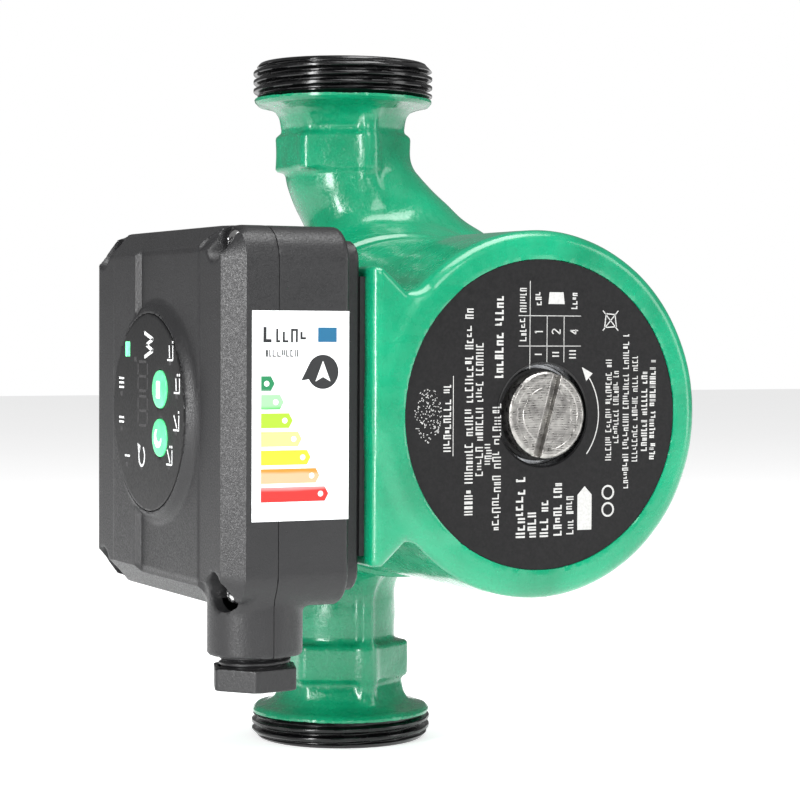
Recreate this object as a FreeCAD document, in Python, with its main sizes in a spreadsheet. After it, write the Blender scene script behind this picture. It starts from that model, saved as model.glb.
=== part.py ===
"""Wet-rotor circulator pump for heating water, as an assembly of separate pieces.

Frame of the part: the origin is the centre of the inlet (lower) port face, +Z runs up the pipe to the
outlet and -Y points out of the front of the motor.  All lengths are millimetres.

Three frames are used below, and each node is drawn in the one that suits it:
  PIPE   the part's own frame
  MOTOR  origin at the middle of the pipe, x to the right, y up, z forwards along the motor's axis
  BOX    origin at the middle of the pipe, x towards the motor's front, y up, z out through the display
"""
import FreeCAD, Part
import math
import os
import re
import Sketcher

Vector = FreeCAD.Vector
Rotation = FreeCAD.Rotation

# ---------------------------------------------------------------- driving dimensions

SIZES = {
    # pipe side
    "port_length": 180.0,        # port face to port face
    "thread_radius": 23.9,       # G 1 1/2 pipe thread, over the crests
    "thread_pitch": 2.309,
    "thread_depth": 1.48,
    "thread_lead": 0.3,          # plain start of the port before the first crest
    "thread_length": 9.6,
    "flare_radius": 23.6,
    "flare_lip": 1.0,
    "flare_length": 6.6,
    "inlet_trim": 2.8,           # how much shorter the inlet is cut than the outlet
    "neck_radius": 14.5,
    "collar_radius": 16.8,       # hexagon between the flare and the wrench land, over corners
    "land_radius": 18.4,         # wrench land, over corners
    "land_offset": 19.2,         # port face to the near side of the land
    "land_height": 9.6,
    "port_bore": 13.0,
    "port_bore_depth": 14.0,
    "passage_radius": 9.0,
    "rib_width": 4.0,
    "rib_reach": 17.0,
    # volute
    "volute_radius": 43.8,
    "volute_wall": 6.5,
    "volute_back": 8.0,
    "bulge_radius": 39.0,
    "bulge_right": 11.0,
    "bulge_up": 6.0,
    "dome_radius": 18.0,
    "dome_depth": 15.0,
    "discharge_right": 29.0,     # where the discharge passage meets the volute
    "discharge_up": 26.0,
    "discharge_forward": 17.0,
    "discharge_taper": 0.8,      # how much narrower the slanted part is at its top
    "chamber_floor": 13.0,
    "eye_radius": 12.0,
    "flange_face": 32.0,
    # bolts between pump and motor
    "lug_right": 29.2,
    "lug_up": 37.4,
    "lug_radius": 5.5,
    "lug_thickness": 14.0,
    "bolt_radius": 2.5,
    "bolt_head": 4.25,
    "bolt_head_height": 5.0,
    "bolt_depth": 10.0,
    "bolt_hole_depth": 12.0,
    "bolt_socket": 2.3,
    # clearances
    "fit_gap": 0.05,
    "screw_gap": 0.2,
    # bearing plate, can and rotor
    "plate_radius": 39.0,
    "plate_thickness": 2.0,
    "plate_hub_radius": 11.0,
    "hub_start": 27.0,
    "hub_end": 37.0,
    "gasket_thickness": 0.8,
    "gasket_inner": 39.6,
    "gasket_outer": 43.4,
    "can_flange_radius": 38.6,
    "can_wall": 0.6,
    "can_radius": 19.2,          # inside of the can
    "can_end": 92.0,
    "boss_radius": 11.4,
    "boss_end": 103.4,
    "bearing_radius": 8.0,
    "bearing_length": 8.0,
    "rear_bearing_start": 83.0,
    "seat_wall": 1.6,
    "shaft_radius": 4.0,
    "shaft_start": 15.5,
    "shaft_end": 91.0,
    "thrust_radius": 7.6,
    "thrust_start": 37.6,
    "thrust_thickness": 2.4,
    "core_radius": 18.2,
    "core_start": 42.0,
    "core_length": 36.0,
    "sleeve_wall": 0.5,
    # impeller
    "impeller_radius": 31.0,
    "impeller_eye": 8.6,
    "skirt_wall": 1.2,
    "ring_gap": 0.2,
    "ring_length": 3.8,
    "shroud_start": 14.0,
    "shroud_thickness": 1.6,
    "vane_height": 5.4,
    "vane_width": 1.6,
    "vane_sweep": 62.0,          # degrees that a vane trails from root to tip
    "hub_radius": 7.0,
    "hub_reach": 2.2,
    # stator and motor housing
    "stator_radius": 37.9,
    "stator_yoke": 32.0,
    "tooth_tip": 20.4,
    "tooth_half": 4.2,
    "stator_start": 46.0,
    "stator_length": 28.0,
    "bobbin_wall": 0.9,
    "coil_wall": 3.2,
    "coil_start": 23.2,
    "coil_end": 30.4,
    "stator_gap": 0.1,           # between the stator and the housing's bore
    "housing_wall": 4.2,
    "housing_front": 107.0,
    "front_wall": 4.0,
    "front_round": 3.2,
    "motor_flange": 6.0,
    "pad_rise": 0.8,             # how far the face that carries the box stands off the can
    "pad_half": 33.3,
    "pad_edge": 1.5,
    "pad_waist": 28.6,
    "pad_slope": 5.5,
    "pad_inner": 30.0,
    "pad_start": 40.0,
    "plug_hole": 12.1,
    "nameplate_radius": 35.5,
    "nameplate_recess": 0.9,
    "nameplate_thickness": 0.6,
    # vent plug
    "plug_radius": 9.9,
    "plug_head": 4.4,
    "plug_edge": 0.6,
    "plug_shank": 6.0,
    "plug_shank_end": 94.5,
    "plug_seal": 1.2,
    "plug_seal_radius": 10.6,
    "slot_width": 2.0,
    "slot_depth": 1.7,
    "slot_turn": 73.3,           # degrees that the slot is turned
    # control box
    "box_side": 104.8,           # outer face that carries the label
    "box_width": 84.0,
    "pad_gasket_thickness": 1.2,
    "box_lip": 3.8,
    "box_lip_inset": 3.0,
    "base_depth": 20.8,
    "slab_thickness": 7.5,
    "plateau_height": 5.0,
    "plateau_width": 60.0,
    "plateau_tall": 74.4,
    "plateau_spread": 9.0,       # how much wider the plateau is at its foot, to each side
    "plateau_rise": 3.4,         # the same, upwards and downwards
    "step_height": 1.1,
    "step_place": 10.3,
    "box_wall": 2.2,
    "box_corner": 8.0,
    "seal_inset": 0.6,
    "seal_width": 1.0,
    "seal_depth": 1.0,
    "pocket_radius": 4.2,
    "pocket_drop": 1.3,
    "corner_screw_across_inset": 8.3,
    "corner_screw_up_inset": 3.8,
    "post_radius": 3.6,
    "post_hole": 1.5,
    "post_hole_depth": 13.0,
    "screw_head": 2.6,
    "screw_head_height": 2.0,
    "cross_width": 0.8,
    "cross_depth": 1.1,
    # box on the motor
    "wire_place": 84.0,
    "wire_radius": 7.0,
    "pad_gasket_half": 31.0,
    "pad_gasket_start": 44.0,
    "pad_gasket_end": 102.0,
    "pad_screw_low": 54.0,
    "pad_screw_high": 95.5,
    "pad_screw_inset": 20.0,
    "pad_screw_radius": 1.9,
    "pad_screw_head": 3.4,
    "pad_screw_head_height": 2.0,
    "pad_screw_depth": 4.4,
    "connector_reach": 4.5,
    "connector_height": 8.8,
    "connector_flange": 9.0,
    # display
    "window_radius": 22.7,
    "window_thickness": 1.5,
    "window_proud": 1.8,
    "display_ring": 24.8,
    "display_ring_height": 1.4,
    "display_opening": 20.5,
    "button_radius": 4.35,
    "button_gap": 0.15,
    "button_across": 7.9,
    "button_up": 5.5,
    "button_proud": 0.6,
    "button_flange": 5.2,
    "button_flange_drop": 0.4,
    "button_stem": 1.5,
    "button_travel": 0.6,
    # electronics
    "board_low_inset": 7.2,
    "board_high_inset": 6.8,
    "board_side_inset": 9.0,
    "board_clear": 10.8,
    "board_thickness": 1.6,
    "board_screw_inset": 4.5,
    "standoff_radius": 3.0,
    "board_screw_radius": 1.3,
    "board_screw_head": 1.6,
    "display_board_radius": 24.0,
    "display_board_drop": 6.0,
    "display_board_thickness": 1.2,
    "display_post": 2.0,
    "display_post_across": 22.0,
    "capacitor_radius": 7.0,
    "capacitor_height": 12.5,
    "capacitor_across": 46.0,
    "capacitor_down": 18.0,
    "choke_ring": 6.6,
    "choke_tube": 2.6,
    "choke_sink": 1.0,
    "choke_across": 64.0,
    "choke_down": 16.0,
    "terminal_height": 9.5,
    "terminal_start": 76.0,
    "terminal_end": 90.0,
    "terminal_foot": 32.0,
    "terminal_head": 20.0,
    "terminal_middle": 26.0,
    "terminal_first": 78.5,
    "terminal_pitch": 4.5,
    "terminal_wire": 1.4,
    "terminal_driver": 1.5,
    "module_start": 38.0,
    "module_end": 64.0,
    "module_low": 4.0,
    "module_high": 24.0,
    "module_height": 4.5,
    "led_length": 2.0,
    "led_width": 1.2,
    "led_height": 0.8,
    "switch_half": 3.0,
    "switch_height": 1.6,
    "plunger_radius": 1.4,
    # cable gland
    "gland_place": 92.0,
    "gland_boss": 10.6,
    "gland_drop": 10.7,
    "gland_radius": 8.0,
    "gland_bore": 5.4,
    "gland_flange": 9.3,
    "gland_flange_start": 5.0,
    "gland_flange_height": 2.0,
    "gland_reach": 15.6,
    "gland_thread_depth": 0.7,
    "gland_thread_pitch": 1.5,
    "nut_corner": 10.4,
    "nut_drop": 13.3,
    "nut_height": 5.0,
    "nut_end_wall": 1.0,
    "nut_hole": 4.4,
    "nut_turn": 9.4,             # degrees that the nut is turned
    "clamp_thickness": 0.6,
    "clamp_radius": 7.2,
    "cable_radius": 4.0,
    "seal_length": 8.0,
    "seal_radius": 5.2,
    # label
    "label_thickness": 0.15,
    "label_low_edge": 4.1,
    "label_high_edge": 1.1,
    "label_top": 23.3,
    "label_bottom": 22.4,
}

# Sizes that follow from the ones above, so that what fits together stays together.
TIED = {
    "housing_bore": "stator_radius + stator_gap",
    "housing_radius": "housing_bore + housing_wall",
    "pad_face": "housing_radius + pad_rise",
    "pad_waist_start": "pad_face - pad_slope",
    "box_back": "pad_face + pad_gasket_thickness",
    "box_split": "box_back + base_depth",
    "slab_front": "box_split + slab_thickness",
    "plateau_front": "slab_front + plateau_height",
    "pocket_floor": "slab_front - pocket_drop",
    "post_hole_end": "box_split - post_hole_depth",
    "window_face": "plateau_front + window_proud",
    "display_board_level": "plateau_front - display_board_drop",
    "corner_screw_across": "box_width / 2 - corner_screw_across_inset",
    "corner_screw_up": "box_width / 2 - corner_screw_up_inset",
    "pad_screw_up": "box_width / 2 - pad_screw_inset",
    "connector_start": "pad_face - connector_reach",
    "connector_end": "box_back + connector_height",
    "board_low": "box_side - box_width + board_low_inset",
    "board_high": "box_side - board_high_inset",
    "board_half": "box_width / 2 - board_side_inset",
    "board_level": "box_back + board_clear",
    "gland_body_end": "box_width / 2 + gland_reach",
    "nut_top": "box_width / 2 + nut_drop",
    "nut_bottom": "nut_top + nut_height",
    "label_low": "box_back + label_low_edge",
    "label_high": "slab_front - label_high_edge",
}

document = FreeCAD.newDocument("circulator_pump")
sheet = document.addObject("Spreadsheet::Sheet", "sizes")
for row, (word, value) in enumerate(SIZES.items(), start=1):
    sheet.set(f"A{row}", word)
    sheet.set(f"B{row}", str(value))
    sheet.setAlias(f"B{row}", word)
document.recompute()

MIDDLE = "port_length / 2"
PIPE = (Rotation(), "0")
MOTOR = (Rotation(Vector(1, 0, 0), 90), MIDDLE)
BOX = (Rotation(Vector(0, -1, 0), Vector(0, 0, 1), Vector(-1, 0, 0), "ZXY"), MIDDLE)

UP = Rotation()
DOWN_Y = Rotation(Vector(1, 0, 0), 90)

nodes = []


# ---------------------------------------------------------------- tools for drawing

def bound(expression):
    """The expression with every tied word written out and every size word pointed at the sheet."""
    def point(match):
        found = match.group(0)
        if found in TIED:
            return f"({bound(TIED[found])})"
        return f"sizes.{found}" if found in SIZES else found
    return re.sub(r"[a-z_]+", point, str(expression))


def number(expression):
    """What an expression of the sheet's sizes comes to now."""
    return float(sheet.evalExpression(bound(expression)))


def bind(made, **properties):
    for name, expression in properties.items():
        made.setExpression(name.replace("__", "."), bound(expression))


def put(made, at, turn=UP):
    """Place an object by three expressions."""
    made.Placement = FreeCAD.Placement(Vector(), turn)
    bind(made, Placement__Base__x=at[0], Placement__Base__y=at[1], Placement__Base__z=at[2])
    return made


def framed(made, frame):
    """Move a finished piece from its drawing frame to the part's frame."""
    turn, height = frame
    return put(made, ("0", "0", height), turn)


def cylinder(radius, height, at=("0", "0", "0"), turn=UP):
    made = document.addObject("Part::Cylinder", "round_bar")
    bind(made, Radius=radius, Height=height)
    return put(made, at, turn)


def rod(radius, start, end, x="0", y="0"):
    """A cylinder along z between two levels."""
    return cylinder(radius, f"({end}) - ({start})", (x, y, start))


def cone(lower, upper, height, at):
    made = document.addObject("Part::Cone", "cone")
    bind(made, Radius1=lower, Radius2=upper, Height=height)
    return put(made, at)


def block(low, high):
    """A box between two corners, each three expressions."""
    made = document.addObject("Part::Box", "block")
    spans = [f"({b}) - ({a})" for a, b in zip(low, high)]
    bind(made, Length=spans[0], Width=spans[1], Height=spans[2])
    return put(made, low)


def hexagon(corner, start, end, x="0", y="0", spin=0, turn=UP):
    """A six-sided bar along its own z; spin turns its first corner."""
    made = document.addObject("Part::Prism", "hexagon")
    made.Polygon = 6
    bind(made, Circumradius=corner, Height=f"({end}) - ({start})")
    return put(made, (x, y, start), turn * Rotation(Vector(0, 0, 1), spin))


def fuse(*pieces):
    made = document.addObject("Part::MultiFuse", "joined")
    made.Shapes = list(pieces)
    return made


def cut(base, *tools):
    made = document.addObject("Part::Cut", "cut")
    made.Base = base
    made.Tool = tools[0] if len(tools) == 1 else fuse(*tools)
    return made


def overlap(one, other):
    made = document.addObject("Part::Common", "common")
    made.Base = one
    made.Tool = other
    return made


def group(*pieces):
    """Separate solids that share one node."""
    made = document.addObject("Part::Compound", "group")
    made.Links = list(pieces)
    return made


def node(label, made, frame):
    """Finish a sub-part: its label names its file."""
    if made.TypeId in ("Part::Box", "Part::Cylinder"):
        made = group(made)
    framed(made, frame)
    made.Label = label
    nodes.append(made)
    return made


def plane_of(body, role):
    for feature in body.Origin.OriginFeatures:
        if feature.Role == role:
            return feature
    raise ValueError(role)


def sketch_on(body, role, level="0"):
    sketch = body.newObject("Sketcher::SketchObject", "outline")
    sketch.AttachmentSupport = [(plane_of(body, role), "")]
    sketch.MapMode = "FlatFace"
    sketch.setExpression("AttachmentOffset.Base.z", bound(level))
    return sketch


def hold(sketch, kind, item, end, expression):
    """Fix one coordinate of a point of the sketch by an expression."""
    row = sketch.addConstraint(Sketcher.Constraint(kind, -1, 1, item, end, number(expression)))
    sketch.setExpression(f"Constraints[{row}]", bound(expression))


def draw_polygon(sketch, corners):
    """A closed outline through corners, each an (x, y) pair of expressions."""
    places = [Vector(number(x), number(y), 0) for x, y in corners]
    first = sketch.GeometryCount
    for start, end in zip(places, places[1:] + places[:1]):
        sketch.addGeometry(Part.LineSegment(start, end), False)
    for index, (x, y) in enumerate(corners):
        line = first + index
        after = first + (index + 1) % len(corners)
        sketch.addConstraint(Sketcher.Constraint("Coincident", line, 2, after, 1))
        hold(sketch, "DistanceX", line, 1, x)
        hold(sketch, "DistanceY", line, 1, y)


def draw_rounded_rectangle(sketch, low, high, radius):
    """A rectangle with four equal rounded corners, low and high being (x, y) expressions."""
    left, bottom = (number(value) for value in low)
    right, top = (number(value) for value in high)
    round_by = number(radius)
    starts = [(left + round_by, bottom), (right, bottom + round_by),
              (right - round_by, top), (left, top - round_by)]
    ends = [(right - round_by, bottom), (right, top - round_by),
            (left + round_by, top), (left, bottom + round_by)]
    centres = [(right - round_by, bottom + round_by), (right - round_by, top - round_by),
               (left + round_by, top - round_by), (left + round_by, bottom + round_by)]
    quarter = math.pi / 2
    first = sketch.GeometryCount
    for side, (start, end, centre) in enumerate(zip(starts, ends, centres)):
        sketch.addGeometry(Part.LineSegment(Vector(*start, 0), Vector(*end, 0)), False)
        arc_circle = Part.Circle(Vector(*centre, 0), Vector(0, 0, 1), round_by)
        arc = Part.ArcOfCircle(arc_circle, (side - 1) * quarter, side * quarter)
        sketch.addGeometry(arc, False)
    for side in range(4):
        line = first + 2 * side
        arc = line + 1
        next_line = first + (2 * side + 2) % 8
        sketch.addConstraint(Sketcher.Constraint("Tangent", line, 2, arc, 1))
        sketch.addConstraint(Sketcher.Constraint("Tangent", arc, 2, next_line, 1))
        row = sketch.addConstraint(Sketcher.Constraint("Radius", arc, round_by))
        sketch.setExpression(f"Constraints[{row}]", bound(radius))
    for side, (way, across, place) in enumerate((("Horizontal", "DistanceY", low[1]),
                                                 ("Vertical", "DistanceX", high[0]),
                                                 ("Horizontal", "DistanceY", high[1]),
                                                 ("Vertical", "DistanceX", low[0]))):
        line = first + 2 * side
        sketch.addConstraint(Sketcher.Constraint(way, line))
        hold(sketch, across, line, 1, place)


def turned(profile):
    """A solid of revolution about z from (radius, z) corners."""
    body = document.addObject("PartDesign::Body", "turned")
    sketch = sketch_on(body, "XZ_Plane")
    draw_polygon(sketch, profile)
    made = body.newObject("PartDesign::Revolution", "revolution")
    made.Profile = sketch
    made.ReferenceAxis = (sketch, ["V_Axis"])
    made.Angle = 360
    return body


def ring(inner, outer, start, end):
    """A plain turned ring between two levels."""
    return turned([(inner, start), (outer, start), (outer, end), (inner, end)])


def padded(draw, start, end):
    """A sketch on the xy plane, drawn by draw(sketch), raised between two levels."""
    body = document.addObject("PartDesign::Body", "padded")
    sketch = sketch_on(body, "XY_Plane", start)
    draw(sketch)
    pad = body.newObject("PartDesign::Pad", "pad")
    pad.Profile = sketch
    bind(pad, Length=f"({end}) - ({start})")
    return body


def rounded_block(inset, start, end):
    """A slab of the control box's square outline, inset all round."""
    low = (f"box_side - box_width + ({inset})", f"({inset}) - box_width / 2")
    high = (f"box_side - ({inset})", f"box_width / 2 - ({inset})")
    corner = f"box_corner - ({inset})"
    return padded(lambda sketch: draw_rounded_rectangle(sketch, low, high, corner), start, end)


def all_corners(across, up):
    """The four sign pairs of a symmetrical layout, as expressions."""
    return [(f"{side} * ({across})", f"{rise} * ({up})") for side in (-1, 1) for rise in (-1, 1)]


# ---------------------------------------------------------------- pump housing

def thread_ridges():
    """Corners of the port's thread, from the face inwards."""
    core = "thread_radius - thread_depth"
    count = int((number("thread_length") - number("thread_lead")) / number("thread_pitch"))
    corners = []
    for turn in range(count):
        start = f"thread_lead + {turn} * thread_pitch"
        corners += [(core, f"{start} + 0.06 * thread_pitch"),
                    ("thread_radius", f"{start} + 0.38 * thread_pitch"),
                    ("thread_radius", f"{start} + 0.62 * thread_pitch"),
                    (core, f"{start} + 0.94 * thread_pitch")]
    return corners


def port():
    """One threaded port with its flare, wrench land, rib and neck, from its face to the pipe's middle."""
    core = "thread_radius - thread_depth"
    profile = [("0", "0"), (core, "0")]
    profile += thread_ridges()
    profile += [(core, "thread_length"),
                ("flare_radius", "thread_length"),
                ("flare_radius", "thread_length + flare_lip"),
                ("neck_radius", "thread_length + flare_length"),
                ("neck_radius", MIDDLE),
                ("0", MIDDLE)]
    collar = hexagon("collar_radius", "thread_length", "land_offset", spin=30)
    land = hexagon("land_radius", "land_offset", "land_offset + land_height", spin=30)
    rib = block(("-rib_width / 2", "-rib_reach", "thread_length + flare_lip / 2"),
                ("rib_width / 2", "0", f"{MIDDLE} - volute_radius + 6"))
    return fuse(turned(profile), collar, land, rib)


def circle_at(radius, x, y, z):
    made = document.addObject("Part::Circle", "section")
    bind(made, Radius=radius)
    return put(made, (x, y, z))


def slanted(radius, top):
    """The discharge between the outlet neck and the volute, round sections that narrow upwards."""
    made = document.addObject("Part::Loft", "slanted")
    foot = circle_at(radius, "discharge_right", "-discharge_forward", f"{MIDDLE} + discharge_up")
    made.Sections = [foot, circle_at(f"{radius} - discharge_taper", "0", "0", top)]
    made.Solid = True
    made.Ruled = True
    return made


def pump_housing():
    reach = "2 * thread_radius"
    faced = block((f"-{reach}", f"-{reach}", "-inlet_trim - 1"), (reach, reach, "0"))
    inlet = cut(put(group(port()), ("0", "0", "-inlet_trim")), faced)
    joint = rod("neck_radius", f"{MIDDLE} - inlet_trim", MIDDLE)
    outlet = put(port(), ("0", "0", "port_length"), Rotation(Vector(0, 1, 0), 180))
    land_end = "port_length - land_offset - land_height"
    slant_top = f"{land_end} + 3"

    drum = rod("volute_radius", "volute_back", "flange_face")
    bulge = rod("bulge_radius", "volute_back", "flange_face", "bulge_right", "bulge_up")
    dome = cone("dome_radius", "volute_radius - 1", "dome_depth + volute_back", ("0", "0", "-dome_depth"))
    lugs = [rod("lug_radius", "flange_face - lug_thickness", "flange_face", x, y)
            for x, y in all_corners("lug_right", "lug_up")]
    volute = framed(fuse(drum, bulge, dome, *lugs), MOTOR)
    outside = fuse(inlet, joint, outlet, slanted("neck_radius", slant_top), volute)

    plate_seat = rod("plate_radius + fit_gap", "flange_face - plate_thickness - 0.5", "flange_face + 1")
    chamber = rod("volute_radius - volute_wall", "chamber_floor", "flange_face")
    spiral = rod("bulge_radius - volute_wall", "chamber_floor", "flange_face - plate_thickness - 3.5",
                 "bulge_right", "bulge_up")
    eye = rod("eye_radius", "0", "chamber_floor + 1")
    bolt_holes = [rod("bolt_radius + fit_gap", "flange_face - bolt_hole_depth", "flange_face + 1", x, y)
                  for x, y in all_corners("lug_right", "lug_up")]
    inside = framed(fuse(plate_seat, chamber, spiral, eye, *bolt_holes), MOTOR)

    inlet_bore = rod("port_bore", "-1", "port_bore_depth")
    suction = rod("passage_radius", "0", MIDDLE)
    elbow = document.addObject("Part::Sphere", "elbow")
    bind(elbow, Radius="passage_radius + 0.5")
    put(elbow, ("0", "0", MIDDLE))
    outlet_bore = rod("port_bore", "port_length - port_bore_depth", "port_length + 1")
    outlet_pipe = rod("passage_radius", land_end, "port_length")
    made = cut(outside, inside, inlet_bore, suction, elbow, outlet_bore, outlet_pipe,
               slanted("passage_radius", slant_top))
    node("pump_housing", made, PIPE)


def neck_ring():
    start = "chamber_floor - ring_length"
    inner = "impeller_eye + skirt_wall + ring_gap"
    node("neck_ring", ring(inner, "eye_radius - fit_gap", start, "chamber_floor"), MOTOR)


# ---------------------------------------------------------------- rotor

def impeller():
    """Closed impeller: front shroud with its skirt, trailing vanes, back shroud and hub."""
    front = "shroud_start + shroud_thickness"
    back = f"{front} + vane_height"
    end = f"{back} + shroud_thickness"
    skirt = ring("impeller_eye", "impeller_eye + skirt_wall", "chamber_floor - ring_length + 0.4", front)
    eye_shroud = ring("impeller_eye", "impeller_radius", "shroud_start", front)
    hub_shroud = turned([("shaft_radius", "shaft_start"), ("hub_radius - 1.5", "shaft_start"),
                         ("hub_radius", back), ("impeller_radius", back), ("impeller_radius", end), ("hub_radius", end),
                         ("hub_radius", f"{end} + hub_reach"), ("shaft_radius", f"{end} + hub_reach")])
    vane = document.addObject("PartDesign::Body", "vanes")
    sketch = sketch_on(vane, "XY_Plane", f"{front} - 0.2")
    steps = 5
    inner_side = []
    outer_side = []
    for step in range(steps + 1):
        share = step / steps
        reach = f"(impeller_eye + 1 + (impeller_radius - 0.3 - impeller_eye - 1) * {share})"
        angle = f"(-vane_sweep * {share})"
        inner_side.append((f"{reach} * cos({angle}) - vane_width / 2 * sin({angle})",
                           f"{reach} * sin({angle}) + vane_width / 2 * cos({angle})"))
        outer_side.append((f"{reach} * cos({angle}) + vane_width / 2 * sin({angle})",
                           f"{reach} * sin({angle}) - vane_width / 2 * cos({angle})"))
    draw_polygon(sketch, outer_side + inner_side[::-1])
    pad = vane.newObject("PartDesign::Pad", "pad")
    pad.Profile = sketch
    bind(pad, Length="vane_height + 0.4")
    document.recompute()
    pattern = vane.newObject("PartDesign::PolarPattern", "six_vanes")
    pattern.Originals = [pad]
    pattern.Axis = (plane_of(vane, "Z_Axis"), [""])
    pattern.Angle = 360
    pattern.Occurrences = 6
    vane.Tip = pattern
    node("impeller", fuse(skirt, eye_shroud, hub_shroud, vane), MOTOR)


def rotor():
    node("rotor_shaft", rod("shaft_radius", "shaft_start", "shaft_end"), MOTOR)
    thrust_end = "thrust_start + thrust_thickness"
    node("thrust_ring", ring("shaft_radius", "thrust_radius", "thrust_start", thrust_end), MOTOR)
    core_end = "core_start + core_length"
    node("rotor_core", ring("shaft_radius", "core_radius", "core_start", core_end), MOTOR)
    jacket = "core_radius + sleeve_wall"
    low = "core_start - sleeve_wall"
    high = f"{core_end} + sleeve_wall"
    sleeve = turned([("shaft_radius", low), (jacket, low), (jacket, high), ("shaft_radius", high),
                     ("shaft_radius", core_end), ("core_radius", core_end),
                     ("core_radius", "core_start"), ("shaft_radius", "core_start")])
    node("rotor_sleeve", sleeve, MOTOR)


def bearings():
    hub_bore = "bearing_radius + fit_gap"
    plate_end = "flange_face - 0.5"
    plate_start = f"{plate_end} - plate_thickness"
    plate = turned([(hub_bore, "hub_start"), ("plate_hub_radius", "hub_start"),
                    ("plate_hub_radius", plate_start), ("plate_radius", plate_start),
                    ("plate_radius", plate_end), ("plate_hub_radius", plate_end),
                    ("plate_hub_radius", "hub_end"), (hub_bore, "hub_end")])
    node("bearing_plate", plate, MOTOR)
    shaft_bore = "shaft_radius + fit_gap"
    for label, start in (("front_bearing", "hub_end - bearing_length - 1"),
                         ("rear_bearing", "rear_bearing_start")):
        node(label, ring(shaft_bore, "bearing_radius", start, f"{start} + bearing_length"), MOTOR)


def rotor_can():
    """Thin can that keeps the water from the windings, with the rear bearing's seat and the vent boss."""
    inner = "can_radius"
    outer = "can_radius + can_wall"
    flange = "flange_face - 0.5"
    seat_bore = "bearing_radius + fit_gap"
    seat = "bearing_radius + fit_gap + seat_wall"
    top = "can_end + can_wall"
    bore = "plug_shank + fit_gap"
    profile = [(inner, flange), ("can_flange_radius", flange), ("can_flange_radius", f"{flange} + can_wall"),
               (outer, f"{flange} + can_wall"), (outer, top), ("boss_radius", top),
               ("boss_radius", "boss_end"),
               (bore, "boss_end"), (bore, "can_end"), (seat_bore, "can_end"),
               (seat_bore, "rear_bearing_start - 1"), (seat, "rear_bearing_start - 1"), (seat, "can_end"),
               (inner, "can_end")]
    node("rotor_can", turned(profile), MOTOR)


# ---------------------------------------------------------------- stator and motor housing

def spun(made, step, count):
    """One of several equal turns about the motor's axis."""
    return put(made, ("0", "0", "0"), Rotation(Vector(0, 0, 1), 360 * step / count))


def stator():
    """Laminated core with six teeth, a plastic bobbin on each tooth and a coil on each bobbin."""
    teeth_count = 6
    stop = "stator_start + stator_length"
    teeth = []
    bobbins = []
    coils = []
    for step in range(teeth_count):
        tooth = block(("tooth_tip", "-tooth_half", "stator_start"), ("stator_yoke + 1", "tooth_half", stop))
        teeth.append(spun(group(tooth), step, teeth_count))
        gap = "fit_gap"
        grow = "bobbin_wall"
        spool_hole = block(("coil_start - 2", f"-tooth_half - {gap}", f"stator_start - {gap}"),
                           ("coil_end + 2", f"tooth_half + {gap}", f"{stop} + {gap}"))
        spool = block(("coil_start - 0.5", f"-tooth_half - {grow}", f"stator_start - {grow}"),
                      ("coil_end + 0.3", f"tooth_half + {grow}", f"{stop} + {grow}"))
        bobbins.append(spun(cut(spool, spool_hole), step, teeth_count))
        wide = "(bobbin_wall + coil_wall)"
        clear = f"{grow} + {gap}"
        coil_hole = block(("coil_start - 1", f"-tooth_half - ({clear})", f"stator_start - ({clear})"),
                          ("coil_end + 1", f"tooth_half + {clear}", f"{stop} + {clear}"))
        coil = block(("coil_start", f"-tooth_half - {wide}", f"stator_start - {wide}"),
                     ("coil_end", f"tooth_half + {wide}", f"{stop} + {wide}"))
        coils.append(spun(cut(coil, coil_hole), step, teeth_count))
    yoke = ring("stator_yoke", "stator_radius", "stator_start", stop)
    node("stator_core", fuse(yoke, *teeth), MOTOR)
    node("coil_bobbins", group(*bobbins), MOTOR)
    node("stator_windings", group(*coils), MOTOR)


def draw_pad(sketch):
    """Outline of the side pad with its waist, seen from the motor's front."""
    upper = [("-pad_inner", "pad_waist"), ("-pad_waist_start", "pad_waist"),
             ("-pad_face + pad_edge", "pad_half"), ("-pad_face", "pad_half")]
    lower = [(x, f"-{y}") for x, y in reversed(upper)]
    draw_polygon(sketch, upper + lower)


def motor_housing():
    start = "flange_face + gasket_thickness"
    can = turned([("0", start), ("volute_radius", start), ("volute_radius", f"{start} + motor_flange - 2"),
                  ("housing_radius", f"{start} + motor_flange"),
                  ("housing_radius", "housing_front - front_round"),
                  ("housing_radius - 0.3 * front_round", "housing_front - 0.3 * front_round"),
                  ("housing_radius - front_round", "housing_front"), ("0", "housing_front")])
    pad = padded(draw_pad, "pad_start", "housing_front")
    lugs = [rod("lug_radius", start, f"{start} + motor_flange", x, y)
            for x, y in all_corners("lug_right", "lug_up")]

    cavity = rod("housing_bore", f"{start} - 1", "housing_front - front_wall")
    recess = rod("nameplate_radius", "housing_front - nameplate_recess", "housing_front + 1")
    plug_hole = rod("plug_hole", "housing_front - front_wall - 1", "housing_front")
    bolt_holes = [rod("bolt_radius + screw_gap", f"{start} - 1", f"{start} + motor_flange + 1", x, y)
                  for x, y in all_corners("lug_right", "lug_up")]
    head_room = [rod("bolt_head + screw_gap", f"{start} + motor_flange", "housing_front + 1", x, y)
                 for x, y in all_corners("lug_right", "lug_up")]
    turn = Rotation(Vector(0, 1, 0), -90)
    wire_hole = cylinder("wire_radius", "pad_face - pad_inner + 2", ("-pad_inner", "0", "wire_place"), turn)
    screw_holes = []
    for place in ("pad_screw_low", "pad_screw_high"):
        for side in (-1, 1):
            at = ("-pad_face + pad_screw_depth + 1", f"{side} * pad_screw_up", place)
            screw_holes.append(cylinder("pad_screw_radius + fit_gap", "pad_screw_depth + 2", at, turn))
    made = cut(fuse(can, pad, *lugs), cavity, recess, plug_hole, wire_hole,
               *bolt_holes, *head_room, *screw_holes)
    node("motor_housing", made, MOTOR)


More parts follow.
